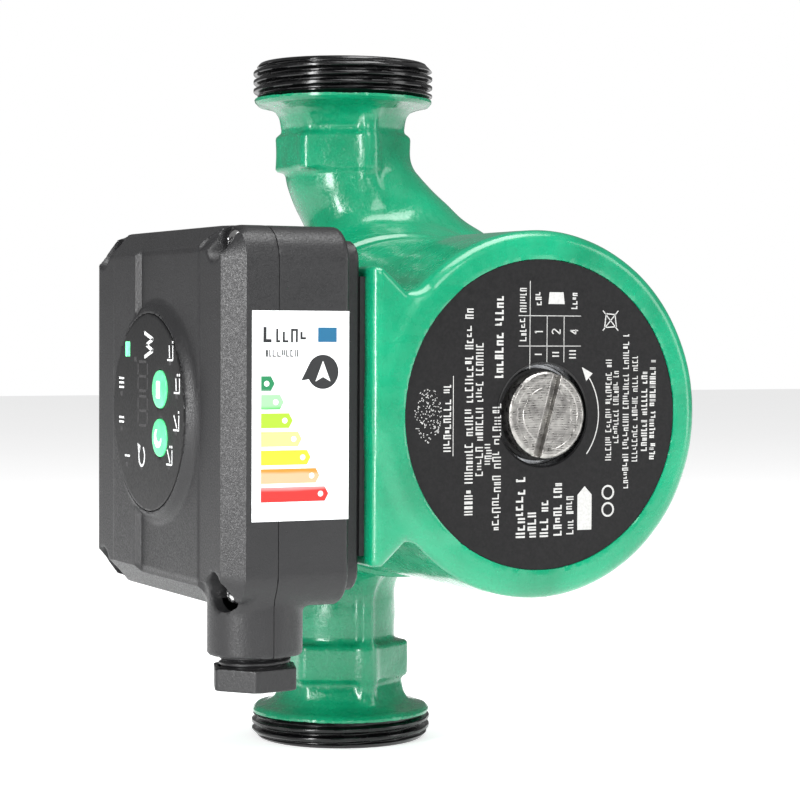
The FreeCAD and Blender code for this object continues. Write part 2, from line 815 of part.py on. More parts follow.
def housing_fasteners():
    gasket = ring("gasket_inner", "gasket_outer", "flange_face", "flange_face + gasket_thickness")
    node("housing_gasket", gasket, MOTOR)
    seat = "flange_face + gasket_thickness + motor_flange"
    screws = []
    for x, y in all_corners("lug_right", "lug_up"):
        shank = rod("bolt_radius", "flange_face - bolt_depth", seat, x, y)
        head = rod("bolt_head", seat, f"{seat} + bolt_head_height", x, y)
        socket = hexagon("bolt_socket", f"{seat} + bolt_head_height / 2",
                         f"{seat} + bolt_head_height + 1", x, y)
        screws.append(cut(fuse(shank, head), socket))
    node("housing_screws", group(*screws), MOTOR)


def nameplate():
    back = "housing_front - nameplate_recess"
    plate = ring("plug_hole", "nameplate_radius - 0.1", back, f"{back} + nameplate_thickness")
    node("nameplate", plate, MOTOR)


def vent():
    """Slotted plug in the middle of the motor's front, and the sealing washer under its head."""
    seat = "boss_end + plug_seal"
    top = f"{seat} + plug_head"
    plug = turned([("0", "plug_shank_end"), ("plug_shank", "plug_shank_end"), ("plug_shank", seat),
                   ("plug_radius", seat), ("plug_radius", f"{top} - plug_edge"),
                   ("plug_radius - plug_edge", top), ("0", top)])
    slot = block(("-plug_radius - 1", "-slot_width / 2", f"{top} - slot_depth"),
                 ("plug_radius + 1", "slot_width / 2", f"{top} + 1"))
    slot = put(group(slot), ("0", "0", "0"), Rotation(Vector(0, 0, 1), number("slot_turn")))
    node("vent_plug", cut(plug, slot), MOTOR)
    node("vent_seal", ring("plug_shank + screw_gap", "plug_seal_radius", "boss_end", seat), MOTOR)


# ---------------------------------------------------------------- control box

BOX_MIDDLE = "box_side - box_width / 2"
LIP_TOP = "box_back + box_lip"


def corner_screws():
    """Places of the four cover screws."""
    return [(f"{BOX_MIDDLE} + {x}", y) for x, y in all_corners("corner_screw_across", "corner_screw_up")]


def pad_screws():
    """Places of the screws that hold the box to the motor's pad."""
    return [(x, f"{side} * pad_screw_up") for x in ("pad_screw_low", "pad_screw_high") for side in (-1, 1)]


def board_screws():
    """Places of the circuit board's screws."""
    low = "board_low + board_screw_inset"
    high = "board_high - board_screw_inset"
    rise = "board_half - board_screw_inset"
    return [(x, f"{side} * ({rise})") for x in (low, high) for side in (-1, 1)]


def downwards(radius, start, end):
    """A cylinder on the gland's axis, from start down to end, both counted below the box's middle."""
    at = ("gland_place", f"-({start})", "box_split")
    return cylinder(radius, f"({end}) - ({start})", at, DOWN_Y)


def gland_bores():
    """What the gland's body takes out of both halves of the box."""
    wall = "box_width / 2 - box_wall"
    flange = "box_width / 2 + gland_flange_start"
    return [downwards("gland_radius + fit_gap", wall, "box_width / 2 + gland_drop + 1"),
            downwards("gland_flange + fit_gap", f"{flange} - fit_gap",
                      f"{flange} + gland_flange_height + fit_gap")]


def half_boss(start, end):
    """The half of the round gland boss that lies between two levels."""
    boss = downwards("gland_boss", "box_width / 2 - 1", "box_width / 2 + gland_drop")
    half = block(("gland_place - 20", "-box_width / 2 - 20", start), ("gland_place + 20", "0", end))
    return overlap(boss, half)


def rim_groove(inner_gap, outer_gap, start, end):
    """A closed frame inside the wall of the box's rim."""
    return cut(rounded_block(f"seal_inset + {outer_gap}", start, end),
               rounded_block(f"seal_inset + seal_width - {inner_gap}", f"{start} - 1", f"{end} + 1"))


def control_box_base():
    shell = rounded_block("0", LIP_TOP, "box_split")
    lip = rounded_block("box_lip_inset", "box_back", f"{LIP_TOP} + 1")
    room = rounded_block("box_wall", f"{LIP_TOP} + box_wall", "box_split + 1")
    well = rounded_block("box_lip_inset + box_wall", "box_back + box_wall", f"{LIP_TOP} + box_wall + 1")
    posts = [rod("post_radius", LIP_TOP, "box_split", x, y) for x, y in corner_screws()]
    standoffs = [rod("standoff_radius", "box_back + 1", "board_level", x, y) for x, y in board_screws()]
    post_holes = [rod("post_hole", "post_hole_end", "box_split + 1", x, y) for x, y in corner_screws()]
    board_holes = [rod("board_screw_radius + fit_gap", "board_level - 6", "board_level + 1", x, y)
                   for x, y in board_screws()]
    pad_holes = [rod("pad_screw_radius + screw_gap", "box_back - 1", "box_back + box_wall + 1", x, y)
                 for x, y in pad_screws()]
    wire_hole = rod("wire_radius", "box_back - 1", "box_back + box_wall + 1", "wire_place")
    hollow = cut(fuse(shell, lip), room, well)
    solid = fuse(hollow, *posts, *standoffs, half_boss("box_split - 20", "box_split"))
    groove = rim_groove("0", "0", "box_split - seal_depth", "box_split + 1")
    made = cut(solid, groove, wire_hole, *post_holes, *board_holes, *pad_holes, *gland_bores())
    node("control_box_base", made, BOX)


def plateau():
    """The raised front of the cover, a tapered block."""
    made = document.addObject("Part::Wedge", "plateau")
    half_wide = "plateau_width / 2"
    half_tall = "plateau_tall / 2"
    bind(made, Xmin=f"-{half_wide} - plateau_spread", Xmax=f"{half_wide} + plateau_spread",
         Zmin=f"-{half_tall} - plateau_rise", Zmax=f"{half_tall} + plateau_rise",
         Ymin="0", Ymax="plateau_front - slab_front + 1",
         X2min=f"-{half_wide}", X2max=half_wide, Z2min=f"-{half_tall}", Z2max=half_tall)
    return put(made, (BOX_MIDDLE, "0", "slab_front - 1"), DOWN_Y)


def control_box_cover():
    slab = rounded_block("0", "box_split", "slab_front")
    left = f"{BOX_MIDDLE} - plateau_width / 2"
    step = block((left, "-plateau_tall / 2", "plateau_front - 1"),
                 (f"{BOX_MIDDLE} - step_place", "plateau_tall / 2", "plateau_front + step_height"))
    display_ring = rod("display_ring", "slab_front", "plateau_front + display_ring_height", BOX_MIDDLE)
    room = rounded_block("box_wall", "box_split - 1", "slab_front - box_wall")
    inner_wide = "plateau_width / 2 - box_wall"
    inner_tall = "plateau_tall / 2 - box_wall"
    attic = block((f"{BOX_MIDDLE} - ({inner_wide})", f"-({inner_tall})", "box_split"),
                  (f"{BOX_MIDDLE} + {inner_wide}", inner_tall, "plateau_front - box_wall"))
    posts = [rod("pocket_radius + 0.4", "box_split", "pocket_floor + 0.5", x, y) for x, y in corner_screws()]
    posts = overlap(fuse(*posts), rounded_block("0.2", "box_split", "slab_front"))
    pockets = [rod("pocket_radius", "pocket_floor", "plateau_front + 5", x, y) for x, y in corner_screws()]
    holes = [rod("post_hole + screw_gap", "box_split - 1", "slab_front", x, y) for x, y in corner_screws()]
    window_seat = rod("window_radius + 0.1", "window_face - window_thickness", "window_face + 3", BOX_MIDDLE)
    opening = rod("display_opening", "slab_front - 1", "window_face", BOX_MIDDLE)
    display_posts = [rod("display_post", "display_board_level + display_board_thickness",
                         "plateau_front - 0.5", f"{BOX_MIDDLE} {sign} display_post_across", "0")
                     for sign in "+-"]
    shell = cut(fuse(slab, plateau(), step, display_ring), room, attic)
    solid = fuse(shell, posts, half_boss("box_split", "box_split + 20"))
    made = cut(solid, window_seat, opening, *pockets, *holes, *gland_bores())
    node("control_box_cover", fuse(made, rim_hooks(display_posts)), BOX)


def rim_hooks(display_posts):
    """Posts for the display board, joined to the underside of the display opening's rim."""
    seat = "window_face - window_thickness"
    rim = "window_radius + 2"
    shelf = cut(rod(rim, "plateau_front - box_wall", seat, BOX_MIDDLE),
                rod("display_opening", "slab_front", "window_face", BOX_MIDDLE))
    outer = [overlap(post, rod(rim, "slab_front - 2", seat, BOX_MIDDLE)) for post in display_posts]
    return fuse(shelf, *outer)


def box_fasteners():
    node("box_seal", rim_groove("2 * fit_gap", "2 * fit_gap", "box_split - seal_depth", "box_split"), BOX)

    gasket = block(("pad_gasket_start", "-pad_gasket_half", "pad_face"),
                   ("pad_gasket_end", "pad_gasket_half", "box_back"))
    wire_hole = rod("wire_radius + 0.5", "pad_face - 1", "box_back + 1", "wire_place")
    holes = [rod("pad_screw_radius + screw_gap", "pad_face - 1", "box_back + 1", x, y)
             for x, y in pad_screws()]
    node("box_pad_gasket", cut(gasket, wire_hole, *holes), BOX)

    floor = "box_back + box_wall"
    screws = []
    for x, y in pad_screws():
        shank = rod("pad_screw_radius", "pad_face - pad_screw_depth", floor, x, y)
        head = rod("pad_screw_head", floor, f"{floor} + pad_screw_head_height", x, y)
        screws.append(fuse(shank, head))
    node("box_screws", group(*screws), BOX)

    screws = []
    for x, y in corner_screws():
        top = "pocket_floor + screw_head_height"
        shank = rod("post_hole - fit_gap", "post_hole_end + 2", "pocket_floor", x, y)
        head = rod("screw_head", "pocket_floor", top, x, y)
        arms = []
        for wide, tall in (("screw_head * 1.2", "cross_width"), ("cross_width", "screw_head * 1.2")):
            arms.append(block((f"{x} - {wide} / 2", f"{y} - {tall} / 2", f"{top} - cross_depth"),
                              (f"{x} + {wide} / 2", f"{y} + {tall} / 2", f"{top} + 1")))
        screws.append(cut(fuse(shank, head), *arms))
    node("cover_screws", group(*screws), BOX)

    flange = rod("connector_flange", floor, f"{floor} + 2", "wire_place")
    stem = rod("wire_radius - screw_gap", "connector_start", "connector_end", "wire_place")
    node("motor_connector", fuse(flange, stem), BOX)


# ---------------------------------------------------------------- display and electronics

def button_places():
    """Across and up of each push button, with its node's name."""
    across = f"{BOX_MIDDLE} + button_across"
    return [("mode_button", across, "button_up"), ("speed_button", across, "-button_up")]


def display():
    back = "window_face - window_thickness"
    window = rod("window_radius", back, "window_face", BOX_MIDDLE)
    holes = [rod("button_radius + button_gap", f"{back} - 1", "window_face + 1", x, y)
             for _, x, y in button_places()]
    node("display_window", cut(window, *holes), BOX)

    plunger_top = "display_board_level + display_board_thickness + switch_height + 0.4"
    foot = f"{plunger_top} + button_travel + 0.1"
    flange_top = f"{back} - button_flange_drop"
    flange_foot = f"{flange_top} - 0.9"
    for label, x, y in button_places():
        stem = rod("button_stem", foot, flange_foot, x, y)
        flange = rod("button_flange", flange_foot, flange_top, x, y)
        cap = rod("button_radius", flange_top, "window_face + button_proud", x, y)
        node(label, fuse(stem, flange, cap), BOX)

    level = "display_board_level + display_board_thickness"
    switches = []
    for _, x, y in button_places():
        can = block((f"{x} - switch_half", f"{y} - switch_half", level),
                    (f"{x} + switch_half", f"{y} + switch_half", f"{level} + switch_height"))
        plunger = rod("plunger_radius", f"{level} + switch_height - 0.2", plunger_top, x, y)
        switches.append(fuse(can, plunger))
    node("button_switches", group(*switches), BOX)

    board = rod("display_board_radius", "display_board_level", level, BOX_MIDDLE)
    node("display_board", board, BOX)
    module = block((f"{BOX_MIDDLE} - 9.6", "-3.6", level), (f"{BOX_MIDDLE} + 2.4", "12.2", f"{back} - 0.6"))
    node("display_module", module, BOX)


def indicator_leds():
    """One lamp behind each mark of the display: power at the top, stages, automatic, pressure modes."""
    level = "display_board_level + display_board_thickness"
    ring_radius = 18.0
    marks = [(-13.0, 14.4), (-15.2, 6.2), (-15.2, -2.2), (-13.3, -10.6), (-3.8, -12.6),
             (13.0, -9.2), (15.2, -1.3), (15.2, 7.0), (13.6, 14.3)]
    lamps = []
    for across, up in marks:
        reach = min(1.0, ring_radius / (across ** 2 + up ** 2) ** 0.5)
        x = f"{BOX_MIDDLE} + {across * reach}"
        y = f"{up * reach}"
        lamps.append(block((f"{x} - led_width / 2", f"{y} - led_length / 2", level),
                           (f"{x} + led_width / 2", f"{y} + led_length / 2", f"{level} + led_height")))
    node("indicator_leds", group(*lamps), BOX)


def electronics():
    top = "board_level + board_thickness"
    board = block(("board_low", "-board_half", "board_level"), ("board_high", "board_half", top))
    holes = [rod("board_screw_radius + screw_gap", "board_level - 1", f"{top} + 1", x, y)
             for x, y in board_screws()]
    node("circuit_board", cut(board, *holes), BOX)
    screws = []
    for x, y in board_screws():
        shank = rod("board_screw_radius", "board_level - 5", top, x, y)
        screws.append(fuse(shank, rod("board_screw_radius * 2", top, f"{top} + board_screw_head", x, y)))
    node("board_screws", group(*screws), BOX)

    capacitor = rod("capacitor_radius", top, f"{top} + capacitor_height",
                    "capacitor_across", "-capacitor_down")
    node("capacitor", capacitor, BOX)
    torus = document.addObject("Part::Torus", "toroid")
    bind(torus, Radius1="choke_ring", Radius2="choke_tube")
    put(torus, ("choke_across", "-choke_down", f"{top} + choke_sink + choke_tube"))
    foot = cut(rod("choke_ring + 1", top, f"{top} + 2", "choke_across", "-choke_down"),
               rod("choke_ring - 1", top, f"{top} + 3", "choke_across", "-choke_down"))
    node("choke", fuse(torus, foot), BOX)
    terminal = block(("terminal_start", "-terminal_foot", top),
                     ("terminal_end", "-terminal_head", f"{top} + terminal_height"))
    places = [f"terminal_first + {way} * terminal_pitch" for way in range(3)]
    wires = [cylinder("terminal_wire", "8", (x, "1 - terminal_middle", f"{top} + 4"), DOWN_Y) for x in places]
    drivers = [rod("terminal_driver", f"{top} + 4", f"{top} + terminal_height + 1", x, "-terminal_middle")
               for x in places]
    node("terminal_block", cut(terminal, *wires, *drivers), BOX)
    module = block(("module_start", "module_low", top),
                   ("module_end", "module_high", f"{top} + module_height"))
    node("power_module", module, BOX)


# ---------------------------------------------------------------- cable gland and label

def gland():
    wall = "box_width / 2 + fit_gap"
    flange = "box_width / 2 + gland_flange_start"
    core = "gland_radius - gland_thread_depth"
    first = "box_width / 2 + gland_drop + 0.4"
    count = int((number("gland_body_end") - number(first)) / number("gland_thread_pitch"))
    profile = [("gland_bore", "gland_body_end"), ("gland_bore", wall), ("gland_radius", wall),
               ("gland_radius", flange), ("gland_flange", flange),
               ("gland_flange", f"{flange} + gland_flange_height"),
               ("gland_radius", f"{flange} + gland_flange_height"),
               ("gland_radius", f"{first} - 0.2"), (core, first)]
    for turn in range(count):
        start = f"{first} + {turn} * gland_thread_pitch"
        profile += [(core, f"{start} + 0.1 * gland_thread_pitch"),
                    ("gland_radius", f"{start} + 0.4 * gland_thread_pitch"),
                    ("gland_radius", f"{start} + 0.6 * gland_thread_pitch"),
                    (core, f"{start} + 0.9 * gland_thread_pitch")]
    profile.append((core, "gland_body_end"))
    hang = ("gland_place", "0", "box_split")
    node("gland_body", group(put(turned(profile), hang, DOWN_Y)), BOX)

    end_wall = "nut_bottom - nut_end_wall"
    nut_shape = hexagon("nut_corner", "nut_top", "nut_bottom", spin=number("nut_turn"))
    nut_bore = rod("gland_radius + fit_gap", "nut_top - 1", end_wall)
    cable_hole = rod("nut_hole", "nut_top", "nut_bottom + 1")
    node("gland_nut", group(put(cut(nut_shape, nut_bore, cable_hole), hang, DOWN_Y)), BOX)

    clamp = ring("cable_radius + 0.2", "clamp_radius", f"{end_wall} - clamp_thickness", end_wall)
    node("gland_clamp_ring", group(put(clamp, hang, DOWN_Y)), BOX)
    seal_end = f"{end_wall} - clamp_thickness"
    seal = ring("cable_radius", "seal_radius", f"{seal_end} - seal_length", seal_end)
    node("gland_seal", group(put(seal, hang, DOWN_Y)), BOX)


def rating_label():
    made = block(("box_side", "-label_bottom", "label_low"),
                 ("box_side + label_thickness", "label_top", "label_high"))
    node("rating_label", made, BOX)


# ---------------------------------------------------------------- build, check and write

pump_housing()
neck_ring()
impeller()
rotor()
bearings()
rotor_can()
stator()
motor_housing()
housing_fasteners()
nameplate()
vent()
control_box_base()
control_box_cover()
box_fasteners()
display()
indicator_leds()
electronics()
gland()
rating_label()
document.recompute()

for made in document.Objects:
    if "Invalid" in made.State or "Error" in made.State:
        raise RuntimeError(f"{made.Name} ({made.Label}) failed: {made.State}")
for made in nodes:
    if made.Shape.isNull() or not made.Shape.isValid() or not made.Shape.Solids:
        raise RuntimeError(f"{made.Label} has no valid solid")

os.makedirs("parts", exist_ok=True)
for made in nodes:
    made.Shape.exportStep(f"parts/{made.Label}.step")
    print(made.Label, len(made.Shape.Solids), round(made.Shape.Volume, 1))
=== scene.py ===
"""Looks of the circulator pump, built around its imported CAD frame.

Lengths in this file are millimetres until a mesh is made, and places are in the frame of the part:
the origin at the middle of the lower port's face, z up the pipe, -y out of the motor's front and
-x out of the control box's display.
"""
import math
import random

import bpy
import numpy as np
from mathutils import Matrix, Vector


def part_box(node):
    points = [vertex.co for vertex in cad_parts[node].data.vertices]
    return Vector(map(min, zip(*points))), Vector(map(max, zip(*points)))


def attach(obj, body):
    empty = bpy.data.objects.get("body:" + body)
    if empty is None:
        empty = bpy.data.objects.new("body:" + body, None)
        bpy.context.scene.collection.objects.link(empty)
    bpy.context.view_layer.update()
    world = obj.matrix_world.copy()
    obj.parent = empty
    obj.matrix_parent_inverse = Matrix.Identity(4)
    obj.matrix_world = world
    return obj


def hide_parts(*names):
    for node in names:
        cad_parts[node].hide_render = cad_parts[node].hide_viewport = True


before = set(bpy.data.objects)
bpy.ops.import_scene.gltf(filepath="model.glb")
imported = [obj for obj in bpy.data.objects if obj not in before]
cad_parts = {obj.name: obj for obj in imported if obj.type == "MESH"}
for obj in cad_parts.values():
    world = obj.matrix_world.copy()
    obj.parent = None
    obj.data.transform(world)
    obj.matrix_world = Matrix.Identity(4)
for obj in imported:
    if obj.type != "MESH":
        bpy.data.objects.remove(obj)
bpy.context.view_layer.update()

MM = 0.001
FINE = 1.0


def mm_box(node):
    """Lowest and highest corners of a CAD node, in millimetres."""
    low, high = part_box(node)
    return np.array(low) / MM, np.array(high) / MM


# ---------------------------------------------------------------- places taken from the frame

PUMP_LOW, PUMP_HIGH = mm_box("pump_housing")
MOTOR_LOW, MOTOR_HIGH = mm_box("motor_housing")
BASE_LOW, BASE_HIGH = mm_box("control_box_base")
COVER_LOW, COVER_HIGH = mm_box("control_box_cover")
PLATE_LOW = mm_box("nameplate")[0]
PLUG_LOW, PLUG_HIGH = mm_box("vent_plug")
WINDOW_LOW, WINDOW_HIGH = mm_box("display_window")
LABEL_LOW, LABEL_HIGH = mm_box("rating_label")
NUT_LOW, NUT_HIGH = mm_box("gland_nut")
GLAND_LOW, GLAND_HIGH = mm_box("gland_body")

PORT_LENGTH = PUMP_HIGH[2]
MIDDLE = PORT_LENGTH / 2
THREAD_RADIUS = PUMP_HIGH[1]
MOTOR_FRONT = -MOTOR_LOW[1]
FLANGE_FACE = 32.0
FLANGE_RADIUS = 43.8
CAN_RADIUS = 42.2
LUG_RIGHT, LUG_UP = 29.2, 37.4     # bolts that join the motor to the pump
BOX_SIDE = -BASE_LOW[1]
BOX_HALF = 42.0
BOX_BACK = -BASE_HIGH[0]
BOX_SPLIT = -BASE_LOW[0]
BOX_CENTRE = BOX_SIDE - BOX_HALF
SLAB_FRONT = 72.5
PLATEAU_FRONT = 77.5
WINDOW_FACE = -WINDOW_LOW[0]
GLAND_X = (NUT_LOW[0] + NUT_HIGH[0]) / 2
GLAND_Y = (GLAND_LOW[1] + GLAND_HIGH[1]) / 2


# ---------------------------------------------------------------- solids as distance fields

def join(first, second, blend=0.0):
    """Union of two fields, with a fillet of about the given size."""
    if blend <= 0:
        return np.minimum(first, second)
    near = np.maximum(blend - np.abs(first - second), 0) / blend
    return np.minimum(first, second) - near * near * blend / 4


def carve(first, second, blend=0.0):
    """The first field with the second taken out of it."""
    return -join(-first, second, blend)


def meet(first, second, blend=0.0):
    return -join(-first, -second, blend)


def extrude(flat, level, low, high, edge=0.0):
    """A flat field swept between two levels, its rims rounded by edge."""
    across = flat + edge
    along = np.abs(level - (low + high) / 2) - (high - low) / 2 + edge
    outside = np.hypot(np.maximum(across, 0), np.maximum(along, 0))
    return outside + np.minimum(np.maximum(across, along), 0) - edge


def disc(u, v, radius, centre=(0.0, 0.0)):
    return np.hypot(u - centre[0], v - centre[1]) - radius


def rectangle(u, v, low, high, corner=0.0):
    """Flat rounded rectangle."""
    across = np.abs(u - (low[0] + high[0]) / 2) - (high[0] - low[0]) / 2 + corner
    along = np.abs(v - (low[1] + high[1]) / 2) - (high[1] - low[1]) / 2 + corner
    outside = np.hypot(np.maximum(across, 0), np.maximum(along, 0))
    return outside + np.minimum(np.maximum(across, along), 0) - corner


def six_sided(u, v, corner_radius, turn=0.0, edge=0.0):
    """Flat regular hexagon; turn is the angle of its first corner."""
    flat = corner_radius * math.cos(math.pi / 6)
    field = np.full(u.shape, -np.inf)
    for side in range(3):
        angle = turn + math.pi / 6 + side * math.pi / 3
        reach = np.abs(u * math.cos(angle) + v * math.sin(angle)) - flat
        field = reach if side == 0 else meet(field, reach, edge)
    return field


def polygon(u, v, corners):
    """Signed distance to a closed flat polygon."""
    best = np.full(u.shape, np.inf)
    sign = np.ones(u.shape)
    for (ax, ay), (bx, by) in zip(corners, corners[1:] + corners[:1]):
        ex, ey = bx - ax, by - ay
        wx, wy = u - ax, v - ay
        share = np.clip((wx * ex + wy * ey) / (ex * ex + ey * ey), 0, 1)
        best = np.minimum(best, (wx - ex * share) ** 2 + (wy - ey * share) ** 2)
        above, below = v >= ay, v < by
        left = ex * wy > ey * wx
        flip = (above & below & left) | (~above & ~below & ~left)
        sign = np.where(flip, -sign, sign)
    return sign * np.sqrt(best)


def tapered_rod(place, start, end, start_radius, end_radius):
    """A round-ended rod between two points."""
    start, end = np.array(start, float), np.array(end, float)
    along = end - start
    share = np.clip(((place - start) @ along) / (along @ along), 0, 1)
    nearest = start + share[:, None] * along
    return np.linalg.norm(place - nearest, axis=1) - (start_radius + share * (end_radius - start_radius))


def unevenness(place, size, depth):
    """A soft, repeatable roughness of a cast skin."""
    x, y, z = (place / size).T
    waves = np.sin(x * 1.7 + 1.3 * np.sin(y * 1.1)) * np.sin(y * 1.9 + 0.7 * np.sin(z * 1.3))
    waves = waves + np.sin(z * 2.3 + 1.1 * np.sin(x * 1.2)) * np.sin(x * 0.9 + y * 1.1)
    return waves * depth / 2


def slopes(field, place, step=0.02):
    """Unit gradient of a field."""
    rise = np.empty_like(place)
    for axis in range(3):
        shift = np.zeros(3)
        shift[axis] = step
        rise[:, axis] = field(place + shift) - field(place - shift)
    return rise / np.maximum(np.linalg.norm(rise, axis=1, keepdims=True), 1e-9)


def contour(field, low, high, cell):
    """Mesh of a field's surface with its sharp edges kept: each grid cell that the surface crosses gets
    one point, where the tangent planes of its crossings meet."""
    cell = cell * FINE
    block = 8
    origin = np.array(low, float) - 1.5 * cell
    blocks = np.ceil((np.array(high, float) + 1.5 * cell - origin) / (cell * block)).astype(int)
    where = np.stack(np.meshgrid(*[np.arange(n) for n in blocks], indexing="ij"), axis=-1).reshape(-1, 3)
    middle = field(origin + (where + 0.5) * block * cell)
    counts = blocks * block
    value = np.repeat(np.repeat(np.repeat(middle.reshape(tuple(blocks)), block, 0), block, 1), block, 2)
    near = where[np.abs(middle) < block * cell * 1.2]
    small = np.stack(np.meshgrid(*[np.arange(block)] * 3, indexing="ij"), axis=-1).reshape(-1, 3)
    for some in np.array_split(near, max(1, len(near) // 2000)):
        spot = (some[:, None, :] * block + small[None]).reshape(-1, 3)
        value[spot[:, 0], spot[:, 1], spot[:, 2]] = field(origin + spot * cell)
    for axis in range(3):
        edges = value.swapaxes(0, axis)
        edges[[0, -1]] = np.maximum(edges[[0, -1]], cell / 2)
    inside = value < 0
    corners = sum(inside[x:counts[0] - 1 + x, y:counts[1] - 1 + y, z:counts[2] - 1 + z].astype(np.int8)
                  for x in (0, 1) for y in (0, 1) for z in (0, 1))
    mixed = (corners > 0) & (corners < 8)
    index = np.full(mixed.shape, -1)
    total = int(mixed.sum())
    index[mixed] = np.arange(total)
    planes = np.zeros((total, 3, 3))
    offsets = np.zeros((total, 3))
    mass = np.zeros((total, 3))
    hits = np.zeros(total)
    quads = []
    for axis in range(3):
        lower = tuple(slice(0, -1) if a == axis else slice(None) for a in range(3))
        upper = tuple(slice(1, None) if a == axis else slice(None) for a in range(3))
        crossing = inside[lower] != inside[upper]
        at = np.argwhere(crossing)
        first, second = value[lower][crossing], value[upper][crossing]
        point = origin + at * cell
        point[:, axis] += cell * first / (first - second)
        normal = slopes(field, point)
        reach = np.einsum("ij,ij->i", normal, point)
        side_a, side_b = [a for a in range(3) if a != axis]
        around = []
        for step_a, step_b in ((0, 0), (-1, 0), (-1, -1), (0, -1)):
            spot = at.copy()
            spot[:, side_a] += step_a
            spot[:, side_b] += step_b
            around.append(index[spot[:, 0], spot[:, 1], spot[:, 2]])
        for ids in around:
            for a in range(3):
                offsets[:, a] += np.bincount(ids, normal[:, a] * reach, total)
                mass[:, a] += np.bincount(ids, point[:, a], total)
                for b in range(3):
                    planes[:, a, b] += np.bincount(ids, normal[:, a] * normal[:, b], total)
            hits += np.bincount(ids, minlength=total)
        ring = np.stack(around, axis=1)
        outward = first < 0
        if axis == 1:
            outward = ~outward
        quads.append(np.where(outward[:, None], ring, ring[:, ::-1]))
    centre = mass / hits[:, None]
    pull = 0.06 * hits[:, None, None] * np.eye(3)
    rest = offsets - np.einsum("nij,nj->ni", planes, centre)
    point = centre + np.linalg.solve(planes + pull, rest[:, :, None])[:, :, 0]
    low_side = origin + (np.argwhere(mixed) - 0.2) * cell
    return np.clip(point, low_side, low_side + 1.4 * cell), np.concatenate(quads)


# ---------------------------------------------------------------- meshes and pieces

def new_mesh(name, points, faces, sharp_degrees=32):
    """A smooth-shaded mesh from points in millimetres."""
    mesh = bpy.data.meshes.new(name)
    mesh.from_pydata((np.asarray(points) * MM).tolist(), [], [list(map(int, face)) for face in faces])
    mesh.validate()
    mesh.update()
    mesh.shade_smooth()
    mesh.set_sharp_from_angle(angle=math.radians(sharp_degrees))
    return mesh


def add_piece(name, mesh, material, body="root", stands_for=()):
    """Put a mesh in the scene as a piece of the object."""
    piece = bpy.data.objects.new(name, mesh)
    bpy.context.scene.collection.objects.link(piece)
    if material is not None:
        mesh.materials.append(material)
    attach(piece, body)
    if stands_for:
        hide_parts(*stands_for)
    return piece


def lathe(profile, segments, centre, axis_up, axis_side):
    """Points and faces of a closed profile of (radius, level) turned about an axis."""
    up = np.array(axis_up, float)
    side = np.array(axis_side, float)
    third = np.cross(up, side)
    points = []
    for radius, level in profile:
        for step in range(segments):
            angle = 2 * math.pi * step / segments
            spoke = side * math.cos(angle) + third * math.sin(angle)
            points.append(np.array(centre) + spoke * radius + up * level)
    rows = len(profile)
    faces = []
    for row in range(rows):
        nxt = (row + 1) % rows
        for step in range(segments):
            after = (step + 1) % segments
            faces.append((row * segments + step, nxt * segments + step,
                          nxt * segments + after, row * segments + after))
    return points, faces


# ---------------------------------------------------------------- pump casting

THREAD_END = 9.6
INLET_TRIM = 2.8       # the lower port is cut this much shorter
LAND_START = 19.2
LAND_HEIGHT = 9.6
PORT_BORE = 13.0
PASSAGE = 9.0
NECK = 14.5
FLARE = [(8, THREAD_END), (23.7, THREAD_END), (23.7, 10.3), (22.9, 11.2), (20.4, 11.8), (18.2, 12.7),
         (16.6, 14.1), (15.4, 16.2), (8, 16.2)]


def port_field(place, reach):
    """Flare, collar and wrench land of one port; reach is the distance from its face."""
    x, y = place[:, 0], place[:, 1]
    flare = polygon(np.hypot(x, y), reach, FLARE)
    facets = six_sided(x, y, 16.8, -math.pi / 2, 1.6)
    collar = extrude(facets, reach, 11.5, 21.0, 1.0)
    land_outline = six_sided(x, y, 18.4, -math.pi / 2, 1.6)
    land = extrude(land_outline, reach, LAND_START, LAND_START + LAND_HEIGHT, 1.0)
    return join(join(flare, collar, 2.4), land, 1.6)


def neck_field(place):
    """Both necks: the lower one runs straight, the upper one spreads into the discharge."""
    low = tapered_rod(place, (0, 0, 16), (0, 0, MIDDLE), NECK, NECK)
    high = tapered_rod(place, (0, 0, 164), (0, 0, 151), NECK, NECK)
    spread = tapered_rod(place, (0, 0, 152), (9, -8, 122), NECK, 15.5)
    branch = tapered_rod(place, (2, -1, 149), (31, -14, 119), 12.8, 13.4)
    return join(join(low, join(high, spread, 2.0), 2.0), branch, 7.0)


def rib_field(place):
    """Casting rib that runs down the front of both necks."""
    x, y, z = place.T
    reach = np.minimum(z + INLET_TRIM, PORT_LENGTH - z)
    outline = rectangle(x, -y, (-1.7, 2.0), (1.7, 17.2), 0.8)
    drift = np.clip(LAND_START + LAND_HEIGHT + 3 - reach, None, 0) * (z > MIDDLE) * 0.3
    leaning = rectangle(x + drift, -y, (-1.7, 2.0), (1.7, 17.2), 0.8)
    return extrude(np.where(z > MIDDLE, leaning, outline), reach, 12.5, 60.0, 1.0)


def volute_field(place):
    x, y, z = place.T
    up, forward = z - MIDDLE, -y
    drum = extrude(disc(x, up, FLANGE_RADIUS), forward, 8, FLANGE_FACE, 1.6)
    bulge = extrude(disc(x, up, 39, (11, 6)), forward, 8, FLANGE_FACE - 1, 7)
    dome = polygon(np.hypot(x, up), forward, [(-1, -13), (16, -13), (40, 10), (-1, 10)]) - 2.0
    body = join(join(drum, bulge, 6), dome, 9)
    for side in (-1, 1):
        for level in (-1, 1):
            lug = extrude(disc(x, up, 5.5, (LUG_RIGHT * side, LUG_UP * level)), forward, 18, FLANGE_FACE, 0.8)
            body = join(body, lug, 3.0)
    return body


